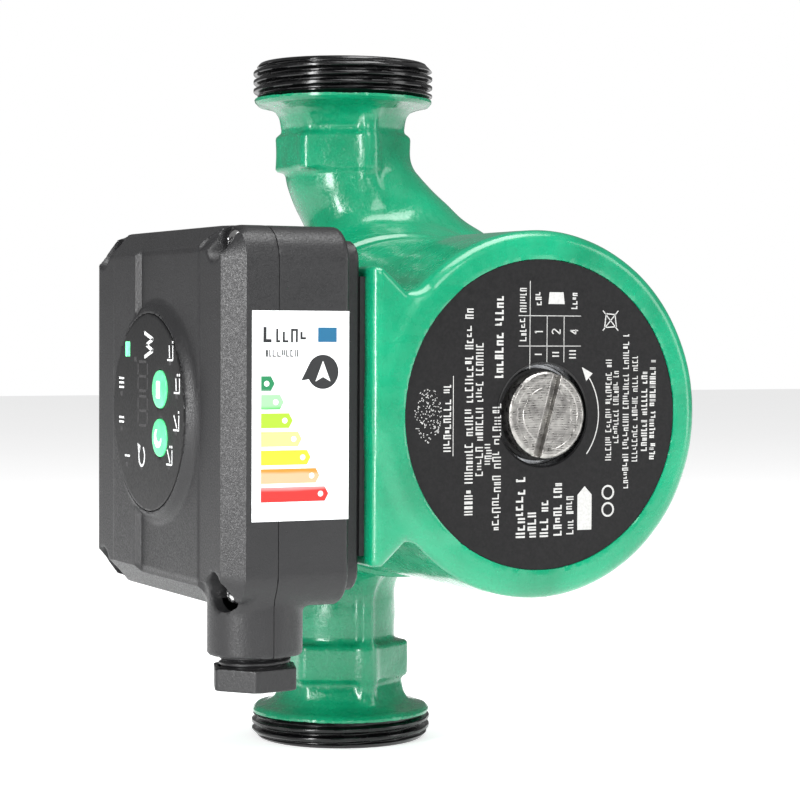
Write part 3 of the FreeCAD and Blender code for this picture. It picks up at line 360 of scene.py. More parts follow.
def casting_field(place):
    x, y, z = place.T
    up, forward = z - MIDDLE, -y
    depth = np.where(z > MIDDLE, PORT_LENGTH - z, z)
    reach = depth + np.where(z > MIDDLE, 0, INLET_TRIM)
    radius = np.hypot(x, y)
    body = join(neck_field(place), port_field(place, reach), 1.8)
    body = join(body, rib_field(place), 2.6)
    body = join(body, volute_field(place), 8.0) + unevenness(place, 4.2, 0.16)
    body = np.maximum(body, THREAD_END - reach)
    body = np.maximum(body, np.where(np.hypot(x, up) > 30, forward - FLANGE_FACE, -np.inf))
    passage = join(tapered_rod(place, (0, 0, 0), (0, 0, MIDDLE), PASSAGE, PASSAGE),
                   tapered_rod(place, (0, 0, 154), (0, 0, PORT_LENGTH), PASSAGE, PASSAGE))
    passage = join(passage, tapered_rod(place, (0, 0, 154), (29, -17, 116), PASSAGE, PASSAGE))
    bore = extrude(radius - PORT_BORE, depth, -9, 14)
    chamber = extrude(np.hypot(x, up) - 37.3, forward, 13, 40)
    body = carve(carve(body, passage, 0.5), join(bore, chamber))
    for side in (-1, 1):
        for level in (-1, 1):
            hole = extrude(disc(x, up, 2.55, (LUG_RIGHT * side, LUG_UP * level)), forward, 20, 40)
            body = carve(body, hole)
    return body


def threaded_end(centre_level, inward, trim):
    """Black threaded end of a port: helical ridges, chamfered first crest, bore and face. Trim is how
    much of its outer end is cut away."""
    pitch, depth, crest = 2.309, 1.48, THREAD_RADIUS
    columns = 180
    rows = [(PORT_BORE, THREAD_END), (PORT_BORE, trim + 0.35), (PORT_BORE + 0.35, trim),
            (crest - 2.1, trim), (crest - 1.75, trim + 0.15)]
    steps = 12
    start, end = trim + 0.3, THREAD_END - 0.1
    count = int((end - start) / pitch * steps)
    levels = [start + (end - start) * step / count for step in range(count + 1)]
    points = []
    for column in range(columns):
        angle = 2 * math.pi * column / columns
        ring = list(rows)
        for level in levels:
            phase = ((level - 0.3) / pitch - column / columns) % 1.0
            ridge = max(0.0, min(1.0, 1.6 * (1 - abs(phase - 0.5) * 2) - 0.14))
            ridge = ridge * ridge * (3 - 2 * ridge)
            reach = crest - depth + depth * ridge
            lead = crest - 1.6 + 0.9 * max(0.0, level - start)
            fade = max(0.0, min(1.0, (level - (end - 0.7)) / 0.6))
            reach = min(reach, lead) * (1 - fade) + (crest - depth) * fade
            ring.append((reach, level))
        ring.append((crest - depth, THREAD_END))
        for radius, level in ring:
            points.append((radius * math.cos(angle), inward * radius * math.sin(angle),
                           centre_level + inward * (level - trim)))
    per = len(rows) + len(levels) + 1
    faces = []
    for column in range(columns):
        after = (column + 1) % columns
        for row in range(per):
            nxt = (row + 1) % per
            faces.append((column * per + row, after * per + row, after * per + nxt, column * per + nxt))
    return points, faces


# ---------------------------------------------------------------- motor housing

FRONT = MOTOR_FRONT
PLATE_RADIUS = 35.5
PLUG_HOLE = 12.1


def motor_field(place):
    x, y, z = place.T
    up, forward = z - MIDDLE, -y
    can = disc(x, up, CAN_RADIUS)
    pad = polygon(x, np.abs(up), [(-42.0, -5), (-42.0, 32.3), (-40.6, 32.3), (-34.8, 27.0),
                                  (-20.0, 27.0), (-20.0, -5)]) - 1.0
    drum = extrude(can, forward, 34.0, FRONT, 3.2)
    block = extrude(pad, forward, 40.0, FRONT - 0.2, 2.4)
    body = join(drum, block, 2.2)
    flange = extrude(disc(x, up, FLANGE_RADIUS), forward, 32.8, 38.8, 1.0)
    body = join(body, flange, 2.0)
    for side in (-1, 1):
        for level in (-1, 1):
            lug = extrude(disc(x, up, 5.5, (LUG_RIGHT * side, LUG_UP * level)), forward, 32.8, 38.8, 0.8)
            body = join(body, lug, 2.0)
            bolt_hole = disc(x, up, 2.7, (LUG_RIGHT * side, LUG_UP * level))
            body = np.maximum(body, -extrude(bolt_hole, forward, 30, 38.9))
    body = body + unevenness(place, 6.0, 0.05)
    radius = np.hypot(x, up)
    recess = extrude(radius - PLATE_RADIUS, forward, FRONT - 0.9, FRONT + 5)
    hole = extrude(radius - PLUG_HOLE, forward, 90, FRONT + 5)
    bore = extrude(radius - 38.0, forward, 20, FRONT - 4.0)
    body = carve(body, recess, 0.25)
    return np.maximum(np.maximum(body, -hole), -bore)


# ---------------------------------------------------------------- control box

SCREW_ACROSS, SCREW_UP = 33.7, 38.2
POCKET = 4.3


def box_outline(place, inset=0.0):
    y, z = place[:, 1], place[:, 2]
    low = (-BOX_SIDE + inset, MIDDLE - BOX_HALF + inset)
    high = (-BOX_SIDE + 2 * BOX_HALF - inset, MIDDLE + BOX_HALF - inset)
    return rectangle(y, z, low, high, 8.0 - inset)


def gland_boss(place, wall=0.0):
    x, y, z = place.T
    return extrude(disc(x - GLAND_X, y - GLAND_Y, 10.6 - wall), z, 37.3, 54.0, 0.7 if wall == 0 else 0)


def gland_bore(place):
    x, y, z = place.T
    return extrude(disc(x - GLAND_X, y - GLAND_Y, 8.1), z, 30.0, 50.0)


def base_field(place):
    out = -place[:, 0]
    shell = extrude(box_outline(place), out, BOX_BACK + 3.8, BOX_SPLIT + 9, 0.9)
    lip = extrude(box_outline(place, 3.0), out, BOX_BACK, BOX_SPLIT, 0.8)
    body = join(join(shell, lip, 0.8), gland_boss(place), 1.6)
    cavity = extrude(box_outline(place, 5.4), out, BOX_BACK + 2.4, BOX_SPLIT + 9, 1.0)
    cavity = join(cavity, extrude(box_outline(place, 2.3), out, BOX_BACK + 6.2, BOX_SPLIT + 9, 1.0))
    for side in (-1, 1):
        for level in (-1, 1):
            post = disc(place[:, 1], place[:, 2], 3.6,
                        (-BOX_CENTRE + SCREW_ACROSS * side, MIDDLE + SCREW_UP * level))
            cavity = carve(cavity, post, 0.8)
    body = np.maximum(body, -cavity)
    body = np.maximum(body, -gland_bore(place))
    return np.maximum(body, out - BOX_SPLIT + 0.06)


PLATEAU_HALF = 25.4    # half the width of the raised front
COVE = 13.0            # width of the hollow curve beside it


def cover_height(across, up):
    """How far out the cover's front stands at each place; across runs towards the motor's front."""
    raised = 1.2 * np.clip((-across - 9.6) / 1.3, 0, 1)
    plateau = PLATEAU_FRONT - 0.6 + raised
    share = np.clip(1 - (np.abs(across) - PLATEAU_HALF) / COVE, 0, 1)
    rise = (plateau - SLAB_FRONT) * (1 - np.sqrt(np.clip(1 - share * share, 0, 1)))
    side = SLAB_FRONT + rise + 1.9 * np.clip((np.abs(across) - PLATEAU_HALF - COVE) / 0.9, 0, 1)
    slope = plateau - np.maximum(np.abs(up) - 36.4, 0) * 0.98
    height = np.where(np.abs(across) < PLATEAU_HALF, plateau, side)
    return -join(-height, -slope, 1.0)


def cover_field(place):
    x, y, z = place.T
    out, across, up = -x, -y - BOX_CENTRE, z - MIDDLE
    front = (out - cover_height(across, up)) * 0.62
    shell = extrude(box_outline(place), out, BOX_SPLIT - 9, SLAB_FRONT + 12, 0)
    body = meet(shell, front, 1.5)
    rim = box_outline(place, 0.0)
    body = np.maximum(body, (rim + out - SLAB_FRONT - 0.1) * 0.707)
    body = join(body, gland_boss(place), 1.6)
    radius = np.hypot(across, up)
    ring = (out - np.clip(WINDOW_FACE - 0.15 - np.maximum(radius - 23.3, 0) * 0.95, 60, None)) * 0.72
    ring = np.maximum(np.maximum(ring, radius - 28.0), 70.0 - out)
    body = join(body, ring, 0.5)
    seat = extrude(radius - 22.8, out, WINDOW_FACE - 1.55, 90)
    opening = extrude(radius - 20.5, out, 60, 90)
    cavity = extrude(box_outline(place, 2.3), out, 50, 70.2, 1.0)
    for side in (-1, 1):
        for level in (-1, 1):
            spot = (-BOX_CENTRE - SCREW_ACROSS * side, MIDDLE + SCREW_UP * level)
            pocket = extrude(disc(y, z, POCKET, spot), out, 71.2, 90, 0.4)
            body = carve(body, pocket, 0.6)
            cavity = carve(cavity, disc(y, z, 3.6, spot), 0.8)
    body = np.maximum(np.maximum(body, -seat), -opening)
    body = np.maximum(body, -cavity)
    body = np.maximum(body, -gland_bore(place))
    return np.maximum(body, BOX_SPLIT + 0.06 - out)


# ---------------------------------------------------------------- small turned and moulded pieces

def turned_field(place, centre, axis, profile, edge=0.0):
    """Distance to a turned piece: profile is a closed polygon of (radius, level along the axis)."""
    offset = place - np.array(centre)
    level = offset @ np.array(axis, float)
    radius = np.linalg.norm(offset - level[:, None] * np.array(axis, float), axis=1)
    return polygon(radius, level, profile) - edge


def slab_field(place, centre, along, across, half_width, floor_axis, floor):
    """A long straight groove: its middle line, its half width and how deep it starts. The along argument is not
    used.
    """
    offset = place - np.array(centre)
    sideways = np.abs(offset @ np.array(across, float)) - half_width
    return np.maximum(sideways, floor - offset @ np.array(floor_axis, float))


SLOT_TILT = math.radians(16.0)
NUT_TURN = math.radians(9.4)


def plug_field(place):
    front = -PLUG_LOW[1]
    profile = [(0, -front + 94.7), (6.0, -front + 94.7), (6.0, -4.6), (9.6, -4.6), (9.6, -0.6),
               (9.2, -0.25), (0, -0.25)]
    body = turned_field(place, (0, -front, MIDDLE), (0, -1, 0), profile, 0.25)
    radius = np.hypot(place[:, 0], place[:, 2] - MIDDLE)
    dish = extrude(np.abs(radius - 7.1) - 0.75, -place[:, 1], front - 0.16, front + 3)
    body = carve(body, dish, 0.15)
    sideways = (math.cos(SLOT_TILT), 0, -math.sin(SLOT_TILT))
    slot = slab_field(place, (0, -front, MIDDLE), (0, 0, 1), sideways, 1.0, (0, -1, 0), -1.7)
    return carve(body, slot, 0.25)


def cross_screw_field(place, centre, turn):
    """Pan head with a cross recess and the top of its shank, head towards -x."""
    profile = [(0, -2.0), (2.5, -2.0), (2.5, -1.25), (2.1, -0.55), (1.3, -0.15), (0, -0.05)]
    body = turned_field(place, centre, (-1, 0, 0), profile, 0.1)
    shank_profile = [(0, -20.0), (1.35, -20.0), (1.35, -1.6), (0, -1.6)]
    shank = turned_field(place, centre, (-1, 0, 0), shank_profile, 0.05)
    body = np.minimum(body, shank)
    for angle in (turn, turn + math.pi / 2):
        across = (0, math.cos(angle), math.sin(angle))
        along = (0, -math.sin(angle), math.cos(angle))
        groove = slab_field(place, centre, along, across, 0.34, (-1, 0, 0), -1.1)
        offset = place - np.array(centre)
        groove = np.maximum(groove, np.abs(offset @ np.array(along)) - 1.6)
        body = carve(body, groove, 0.12)
    return body


def nut_field(place):
    x, y, z = place.T
    low, high = NUT_LOW[2], NUT_HIGH[2]
    outline = six_sided(x - GLAND_X, y - GLAND_Y, 10.35, NUT_TURN, 0.5)
    body = extrude(outline, z, low, high, 0.35)
    radius = np.hypot(x - GLAND_X, y - GLAND_Y)
    skirt = (radius - 9.95 - np.minimum(z - low, high - z) * 1.6) * 0.53
    body = meet(body, skirt, 0.3)
    bore = extrude(radius - 8.15, z, low + 1.0, high + 2)
    hole = extrude(radius - 4.4, z, low - 2, high + 2)
    return np.maximum(np.maximum(body, -bore), -hole)


def gland_thread():
    """Threaded tube of the gland with the collar that seats in the box."""
    columns, pitch = 96, 1.5
    bottom = GLAND_LOW[2]
    flange = [(8.0, 39.2), (9.3, 39.4), (9.3, 41.4), (5.4, 41.4), (5.4, bottom)]
    steps = int((39.0 - bottom - 0.2) / pitch * 10)
    points = []
    for column in range(columns):
        angle = 2 * math.pi * column / columns
        ring = []
        for step in range(steps + 1):
            level = bottom + 0.2 + (39.0 - bottom - 0.2) * step / steps
            phase = ((level - bottom) / pitch - column / columns) % 1.0
            ring.append((7.3 + 0.7 * min(1.0, 1.5 * (1 - abs(phase - 0.5) * 2)), level))
        for radius, level in [(7.0, bottom)] + ring + flange:
            points.append((GLAND_X + radius * math.cos(angle), GLAND_Y + radius * math.sin(angle), level))
    per = steps + 2 + len(flange)
    faces = []
    for column in range(columns):
        after = (column + 1) % columns
        for row in range(per):
            nxt = (row + 1) % per
            faces.append((column * per + row, after * per + row, after * per + nxt, column * per + nxt))
    return points, faces


# ---------------------------------------------------------------- flat prints

def sheet_mesh(name, shapes, origin, along, upward, thickness):
    """Thin closed plates: each shape is a loop of (along, upward) corners on a plane."""
    along, upward = np.array(along, float), np.array(upward, float)
    out = np.cross(along, upward)
    points, faces = [], []
    for shape in shapes:
        area = sum(a[0] * b[1] - b[0] * a[1] for a, b in zip(shape, shape[1:] + shape[:1]))
        loop = shape if area > 0 else shape[::-1]
        first = len(points)
        count = len(loop)
        for lift in (0.0, thickness):
            for a, b in loop:
                points.append(np.array(origin) + along * a + upward * b + out * lift)
        faces.append([first + count + n for n in range(count)])
        faces.append([first + n for n in reversed(range(count))])
        for n in range(count):
            after = (n + 1) % count
            faces.append([first + n, first + after, first + count + after, first + count + n])
    mesh = new_mesh(name, points, faces, 20)
    return mesh


def bar(low, high):
    return [(low[0], low[1]), (high[0], low[1]), (high[0], high[1]), (low[0], high[1])]


def stroke(start, end, width):
    """A straight line of a print."""
    dx, dy = end[0] - start[0], end[1] - start[1]
    size = math.hypot(dx, dy)
    nx, ny = -dy / size * width / 2, dx / size * width / 2
    return [(start[0] + nx, start[1] + ny), (start[0] - nx, start[1] - ny),
            (end[0] - nx, end[1] - ny), (end[0] + nx, end[1] + ny)]


def path(points, width, closed=False):
    """A bent line of a print, as one stroke for each leg."""
    pairs = list(zip(points, points[1:])) + ([(points[-1], points[0])] if closed else [])
    return [stroke(a, b, width) for a, b in pairs]


def arc_points(centre, radius, first, last, steps=16, squash=1.0):
    angles = [math.radians(first + (last - first) * step / steps) for step in range(steps + 1)]
    return [(centre[0] + radius * math.cos(a), centre[1] + radius * squash * math.sin(a)) for a in angles]


def round_bar(low, high, radius, steps=5):
    """Filled rounded rectangle."""
    corners = [((high[0] - radius, high[1] - radius), 0), ((low[0] + radius, high[1] - radius), 90),
               ((low[0] + radius, low[1] + radius), 180), ((high[0] - radius, low[1] + radius), 270)]
    loop = []
    for centre, first in corners:
        loop += arc_points(centre, radius, first, first + 90, steps)
    return loop


def dummy_line(start, end, base, height, weight, chance):
    """A line of meaningless marks that stands in for a printed line."""
    shapes = []
    at = start
    left = chance.randint(3, 9)
    while at < end - 0.35 * height:
        if left == 0:
            at += 0.55 * height
            left = chance.randint(3, 9)
            continue
        wide = height * chance.choice((0.32, 0.45, 0.5, 0.55))
        low = base + (0 if chance.random() < 0.8 else 0.22 * height)
        top = base + height * chance.choice((1.0, 1.0, 0.78))
        kind = chance.randint(0, 3)
        thick = weight * height
        shapes.append(bar((at, low), (at + thick, top)))
        if kind in (0, 1):
            shapes.append(bar((at + wide - thick, low), (at + wide, top)))
        if kind in (1, 2):
            shapes.append(bar((at + thick * 1.02, top - thick), (at + wide - thick * 1.02, top)))
        if kind in (2, 3):
            shapes.append(bar((at + thick * 1.02, low), (at + wide, low + thick)))
        at += wide + 0.2 * height
        left -= 1
    return shapes


def digit(number, centre, height, weight=0.13):
    """Plain digits one, two and four built from strokes."""
    wide = height * 0.5
    left, right = centre[0] - wide / 2, centre[0] + wide / 2
    low, top = centre[1] - height / 2, centre[1] + height / 2
    middle = centre[1]
    legs = {1: [[(centre[0] - wide * 0.3, top - height * 0.2), (centre[0], top), (centre[0], low)]],
            2: [arc_points((centre[0], top - wide / 2), wide / 2, 160, -20, 8) + [(left, low), (right, low)]],
            4: [[(right - wide * 0.25, low), (right - wide * 0.25, top), (left, middle - height * 0.2),
                 (right, middle - height * 0.2)]]}
    return [shape for leg in legs[number] for shape in path(leg, height * weight)]


def nameplate_shapes():
    """Everything printed on the nameplate, with lines of print replaced by meaningless marks.
    The print reads up the plate: along is +z and upward is -x."""
    chance = random.Random(7)
    shapes = []
    lines = [(-19.2, -22.4, 24.5, 2.1, 0.15), (-16.5, -13.6, 16.1, 1.9, 0.15), (-14.2, -11.1, -6.5, 1.8, 0.15),
             (-12.0, -26.0, 3.0, 2.2, 0.13), (-11.5, 8.5, 27.7, 2.2, 0.2), (17.6, -10.8, 13.4, 1.6, 0.15),
             (19.6, -6.8, 9.8, 1.5, 0.15), (22.3, -17.4, 18.6, 1.6, 0.16), (24.8, -11.2, 13.8, 1.5, 0.15),
             (27.4, -8.8, 9.8, 1.6, 0.2), (29.7, -10.8, 13.1, 1.6, 0.21), (-5.7, -28.0, -13.1, 2.4, 0.18),
             (-2.7, -28.0, -22.0, 2.2, 0.18), (0.5, -28.0, -19.0, 2.2, 0.18), (4.1, -27.8, -15.2, 2.2, 0.18),
             (7.4, -27.6, -17.4, 1.9, 0.15), (-5.3, 16.8, 22.0, 1.7, 0.15), (-5.3, 23.4, 29.2, 1.7, 0.15),
             (-1.3, 25.0, 28.3, 1.6, 0.18), (8.2, 24.2, 28.7, 1.6, 0.18), (-24.7, -8.0, 8.0, 1.9, 0.16)]
    for across, start, end, height, weight in lines:
        shapes += dummy_line(start, end, -across - height / 2, height, weight, chance)
    for across, start, end in ((-3.5, 10.5, 30.5), (1.0, 12.0, 22.6), (5.5, 12.0, 22.6), (-23.2, -9.0, 9.0)):
        shapes.append(stroke((start, -across), (end, -across), 0.16))
    for level in (15.7, 22.6):
        shapes.append(stroke((level, 6.5), (level, -10.0), 0.16))
    for number, across in ((1, -1.2), (2, 3.4), (4, 8.2)):
        shapes += digit(number, (19.0, -across), 2.1)
    for count, across in ((1, -1.3), (2, 3.3), (3, 7.8)):
        for mark in range(count):
            level = 13.8 + (mark - (count - 1) / 2) * 0.8
            shapes.append(stroke((level, -across - 0.9), (level, -across + 0.9), 0.3))
    shapes.append([(25.3, -1.3), (28.0, -1.6), (28.0, -5.3), (25.3, -5.6)])
    shapes.append([(-26.7, -9.4), (-26.7, -13.2), (-18.6, -13.2), (-16.6, -11.3), (-18.6, -9.4)])
    shapes += path(arc_points((0, 0), 14.9, -128, -56, 24), 0.26)
    tip = math.radians(-52)
    middle = (14.9 * math.cos(tip), 14.9 * math.sin(tip))
    shapes.append([(middle[0] + 1.7, middle[1] + 1.4), (middle[0] - 1.5, middle[1] + 0.2),
                   (middle[0] + 0.2, middle[1] - 1.5)])
    shapes += path([(19.3, -15.9), (23.9, -20.1)], 0.24) + path([(23.9, -15.9), (19.3, -20.1)], 0.24)
    shapes += path([(20.0, -16.4), (23.2, -16.8), (23.0, -19.2), (20.2, -19.6)], 0.26, True)
    shapes += path(arc_points((-18.2, -17.6), 1.5, 0, 360, 18), 0.45)
    shapes += path(arc_points((-22.2, -17.6), 1.5, 0, 360, 18), 0.45)
    for _ in range(150):
        angle, reach = chance.uniform(0, 2 * math.pi), math.sqrt(chance.random())
        spot = (0.3 + 6.2 * reach * math.cos(angle), 29.4 + 3.4 * reach * math.sin(angle))
        turn = chance.uniform(0, math.pi)
        size = chance.uniform(0.15, 0.42)
        end = (spot[0] + size * math.cos(turn), spot[1] + size * math.sin(turn))
        shapes.append(stroke(spot, end, 0.17))
    return shapes


def display_print_shapes():
    """White marks of the display: along is +z and upward is +y, from the display's middle."""
    shapes = []
    zigzag = [(12.7, 2.1), (14.2, -3.3), (15.5, 0.9), (16.8, -3.3), (18.3, 2.1)]
    shapes += path(zigzag, 0.85)
    for count, place in ((3, (6.5, 17.2)), (2, (-2.2, 17.2)), (1, (-10.6, 13.3))):
        for mark in range(count):
            level = place[0] + (mark - (count - 1) / 2) * 1.05
            shapes.append(stroke((level, place[1] - 1.6), (level, place[1] + 1.6), 0.5))
    for rising, dots, place in ((False, 1, (14.3, -14.0)), (False, 2, (7.0, -18.1)),
                                (True, 1, (-1.3, -17.7)), (True, 2, (-9.2, -13.6))):
        along, up = place
        low, top = up - 1.7, up + 1.7
        shapes += path([(along - 2.1, top), (along - 2.1, low), (along + 1.2, low)], 0.42)
        slope = 0.9 if rising else 0.1
        shapes.append(stroke((along - 1.6, up + 0.4 - slope), (along + 1.2, up + 0.4 + slope), 0.5))
        for mark in range(dots):
            shapes.append(bar((along + 1.65, low - 0.2 + mark * 1.1), (along + 2.2, low + 0.45 + mark * 1.1)))
    shapes += path(arc_points((-10.2, 3.8), 2.3, 40, 330, 18, 0.8), 0.6)
    shapes.append([(-7.9, 4.6), (-7.3, 6.5), (-9.7, 5.9)])
    return shapes


def display_digit_shapes():
    """Unlit segments behind the window."""
    shapes = []
    for base in (-3.3, 4.7):
        for low, top in ((0.6, 3.2), (3.9, 6.5)):
            for side in (0.2, 6.2):
                shapes.append(bar((base + low, side - 0.35), (base + top, side + 0.35)))
        for level in (0.2, 3.55, 6.9):
            shapes.append(bar((base + level - 0.3, 0.9), (base + level + 0.3, 5.6)))
    for along, up in ((12.1, 8.0), (3.9, 17.2), (-4.4, 17.2), (-12.6, 13.3), (-12.9, 3.8), (11.6, -14.0),
                      (4.2, -18.1), (-4.0, -17.7), (-11.9, -13.6)):
        shapes.append(bar((along - 0.55, up - 0.75), (along + 0.55, up + 0.75)))
    return shapes


# ---------------------------------------------------------------- materials

def paint(red, green, blue):
    """Linear colour from everyday 0 to 255 values."""
    def linear(value):
        value /= 255
        return value / 12.92 if value <= 0.04045 else ((value + 0.055) / 1.055) ** 2.4
    return (linear(red), linear(green), linear(blue), 1.0)


class Finish:
    """Small helper that wires the nodes of one material."""

    def __init__(self, name, roughness=0.5, metallic=0.0):
        self.material = bpy.data.materials.new(name)
        self.material.use_nodes = True
        self.nodes = self.material.node_tree.nodes
        self.links = self.material.node_tree.links
        self.shader = self.nodes["Principled BSDF"]
        self.shader.inputs["Roughness"].default_value = roughness
        self.shader.inputs["Metallic"].default_value = metallic
        self.place = self.nodes.new("ShaderNodeTexCoord").outputs["Object"]

    def set(self, **values):
        for name, value in values.items():
            self.shader.inputs[name.replace("_", " ")].default_value = value

    def link(self, output, name):
        self.links.new(output, self.shader.inputs[name])

    def noise(self, size, detail=3.0, rough=0.5, place=None):
        """Soft noise whose blobs measure about size millimetres."""
        node = self.nodes.new("ShaderNodeTexNoise")
        node.inputs["Scale"].default_value = 1000.0 / size
        node.inputs["Detail"].default_value = detail
        node.inputs["Roughness"].default_value = rough
        self.links.new(place or self.place, node.inputs["Vector"])
        return node.outputs["Fac"]

    def cells(self, size, feature="F1", place=None):
        node = self.nodes.new("ShaderNodeTexVoronoi")
        node.feature = feature
        node.inputs["Scale"].default_value = 1000.0 / size
        self.links.new(place or self.place, node.inputs["Vector"])
        return node.outputs["Distance"]

    def bands(self, size, direction="X", distort=0.0, kind="BANDS", place=None):
        node = self.nodes.new("ShaderNodeTexWave")
        node.wave_type = kind
        if kind == "BANDS":
            node.bands_direction = direction
        else:
            node.rings_direction = direction
        node.inputs["Scale"].default_value = 314.0 / size
        node.inputs["Distortion"].default_value = distort
        self.links.new(place or self.place, node.inputs["Vector"])
        return node.outputs["Fac"]

    def spread(self, value, low, high, to_low=0.0, to_high=1.0):
        node = self.nodes.new("ShaderNodeMapRange")
        for name, number in (("From Min", low), ("From Max", high), ("To Min", to_low), ("To Max", to_high)):
            node.inputs[name].default_value = number
        self.links.new(value, node.inputs["Value"])
        return node.outputs["Result"]

    def mix(self, share, first, second):
        node = self.nodes.new("ShaderNodeMix")
        node.data_type = "RGBA"
        self.links.new(share, node.inputs["Factor"])
        for socket, colour in (("A", first), ("B", second)):
            target = [i for i in node.inputs if i.name == socket and i.type == "RGBA"][0]
            if isinstance(colour, tuple):
                target.default_value = colour
            else:
                self.links.new(colour, target)
        return [o for o in node.outputs if o.type == "RGBA"][0]

    def maths(self, kind, first, second):
        node = self.nodes.new("ShaderNodeMath")
        node.operation = kind
        for socket, value in zip(node.inputs, (first, second)):
            if isinstance(value, (int, float)):
                socket.default_value = value
            else:
                self.links.new(value, socket)
        return node.outputs["Value"]

    def bump(self, height, depth, after=None):
        """Relief of about depth millimetres."""
        node = self.nodes.new("ShaderNodeBump")
        node.inputs["Strength"].default_value = 1.0
        node.inputs["Distance"].default_value = depth * MM
        self.links.new(height, node.inputs["Height"])
        if after is not None:
            self.links.new(after, node.inputs["Normal"])
        self.links.new(node.outputs["Normal"], self.shader.inputs["Normal"])
        return node.outputs["Normal"]


def green_enamel(name, grain, pool):
    """Glossy enamel on cast metal: grain is the relief of the skin, pool the depth of its runs."""
    finish = Finish(name, 0.3)
    broad = finish.noise(16, 2)
    colour = finish.mix(finish.spread(broad, 0.3, 0.7), paint(4, 124, 86), paint(8, 146, 104))
    specks = finish.spread(finish.noise(0.9, 2), 0.58, 0.78)
    colour = finish.mix(finish.maths("MULTIPLY", specks, 0.28), colour, paint(4, 98, 68))
    finish.link(colour, "Base Color")
    finish.link(finish.spread(finish.noise(3.0, 3), 0.3, 0.7, 0.2, 0.36), "Roughness")
    finish.set(Coat_Weight=0.5, Coat_Roughness=0.1, Specular_IOR_Level=0.4)
    first = finish.bump(finish.noise(2.6, 3, 0.6), pool)
    finish.bump(finish.noise(0.8, 2, 0.6), grain, first)
    return finish.material


def thread_black(name):
    finish = Finish(name, 0.25)
    colour = finish.mix(finish.spread(finish.noise(2.0, 3), 0.35, 0.7), paint(5, 5, 6), paint(14, 14, 15))
    finish.link(colour, "Base Color")
    finish.link(finish.spread(finish.noise(1.2, 3), 0.3, 0.75, 0.16, 0.3), "Roughness")
    finish.set(Coat_Weight=0.2, Coat_Roughness=0.08, Specular_IOR_Level=0.35)
    finish.bump(finish.noise(1.1, 3), 0.02)
    return finish.material


def grained_plastic(name, colour, grain=0.05, rough=0.42, size=0.42):
    """Moulded plastic with a spark-eroded grain."""
    finish = Finish(name, rough)
    light = tuple(min(1.0, c * 1.35 + 0.002) for c in colour[:3]) + (1.0,)
    finish.link(finish.mix(finish.noise(9, 2), colour, light), "Base Color")
    pits = finish.noise(size, 2, 0.6)
    finish.link(finish.spread(pits, 0.35, 0.7, rough - 0.1, rough + 0.14), "Roughness")
    finish.set(Specular_IOR_Level=0.4)
    finish.bump(pits, grain)
    return finish.material


def smooth_plastic(name, colour, rough=0.25):
    finish = Finish(name, rough)
    deeper = tuple(c * 0.82 for c in colour[:3]) + (1.0,)
    finish.link(finish.mix(finish.spread(finish.noise(5, 2), 0.35, 0.65), colour, deeper), "Base Color")
    finish.link(finish.spread(finish.noise(1.5, 2), 0.3, 0.7, rough - 0.05, rough + 0.08), "Roughness")
    finish.bump(finish.noise(1.8, 2), 0.012)
    return finish.material


def plate_black(name):
    """Nameplate foil: satin black with a fine mottling."""
    finish = Finish(name, 0.48)
    mottle = finish.spread(finish.noise(0.7, 3, 0.6), 0.35, 0.7)
    finish.link(finish.mix(mottle, paint(10, 10, 11), paint(22, 21, 22)), "Base Color")
    finish.link(finish.spread(finish.noise(2.4, 3), 0.3, 0.7, 0.42, 0.6), "Roughness")
    finish.set(Specular_IOR_Level=0.25)
    finish.bump(finish.noise(0.5, 2), 0.015)
    return finish.material


def ink(name, colour):
    """Printed ink, slightly uneven."""
    finish = Finish(name, 0.5)
    worn = tuple(c * 0.8 for c in colour[:3]) + (1.0,)
    finish.link(finish.mix(finish.spread(finish.noise(0.6, 3), 0.4, 0.75), colour, worn), "Base Color")
    finish.bump(finish.noise(0.4, 2), 0.006)
    return finish.material


def turned_metal(name, light, dark, size, direction="Y", rough=0.28):
    """Machined metal with concentric tool marks about an axis."""
    finish = Finish(name, rough, 1.0)
    marks = finish.bands(size, direction, 0.6, "RINGS", finish.place)
    stains = finish.spread(finish.noise(3.2, 4, 0.6), 0.35, 0.7)
    finish.link(finish.mix(stains, light, dark), "Base Color")
    finish.link(finish.spread(finish.noise(1.1, 3), 0.3, 0.7, rough - 0.08, rough + 0.16), "Roughness")
    relief = finish.bump(marks, 0.012)
    finish.bump(finish.noise(0.6, 3), 0.03, relief)
    return finish.material


def cast_metal(name, light, dark, rough=0.35, grain=0.02, size=0.8):
    """Plain metal with a fine skin."""
    finish = Finish(name, rough, 1.0)
    finish.link(finish.mix(finish.spread(finish.noise(4, 4), 0.35, 0.7), light, dark), "Base Color")
    finish.link(finish.spread(finish.noise(1.0, 3), 0.3, 0.7, rough - 0.08, rough + 0.12), "Roughness")
    finish.bump(finish.noise(size, 3), grain)
    return finish.material


def laminated_iron(name):
    """Stack of thin sheets along the motor's axis."""
    finish = Finish(name, 0.4, 1.0)
    sheets = finish.bands(0.5, "Y", 0.1)
    colour = finish.mix(sheets, paint(92, 94, 98), paint(150, 152, 156))
    rust = finish.spread(finish.noise(3, 4), 0.6, 0.8)
    finish.link(finish.mix(rust, colour, paint(120, 92, 70)), "Base Color")
    finish.bump(sheets, 0.05)
    return finish.material


def wound_copper(name):
    finish = Finish(name, 0.3, 1.0)
    wires = finish.bands(0.45, "Y", 0.5)
    # Painted shade: the colour darkens in the grooves between the wires, along the same bands as the relief;
    # the bright tone is the copper's own.
    finish.link(finish.mix(wires, paint(120, 52, 24), paint(216, 122, 70)), "Base Color")
    finish.set(Coat_Weight=0.5, Coat_Roughness=0.15)
    finish.bump(wires, 0.12)
    return finish.material


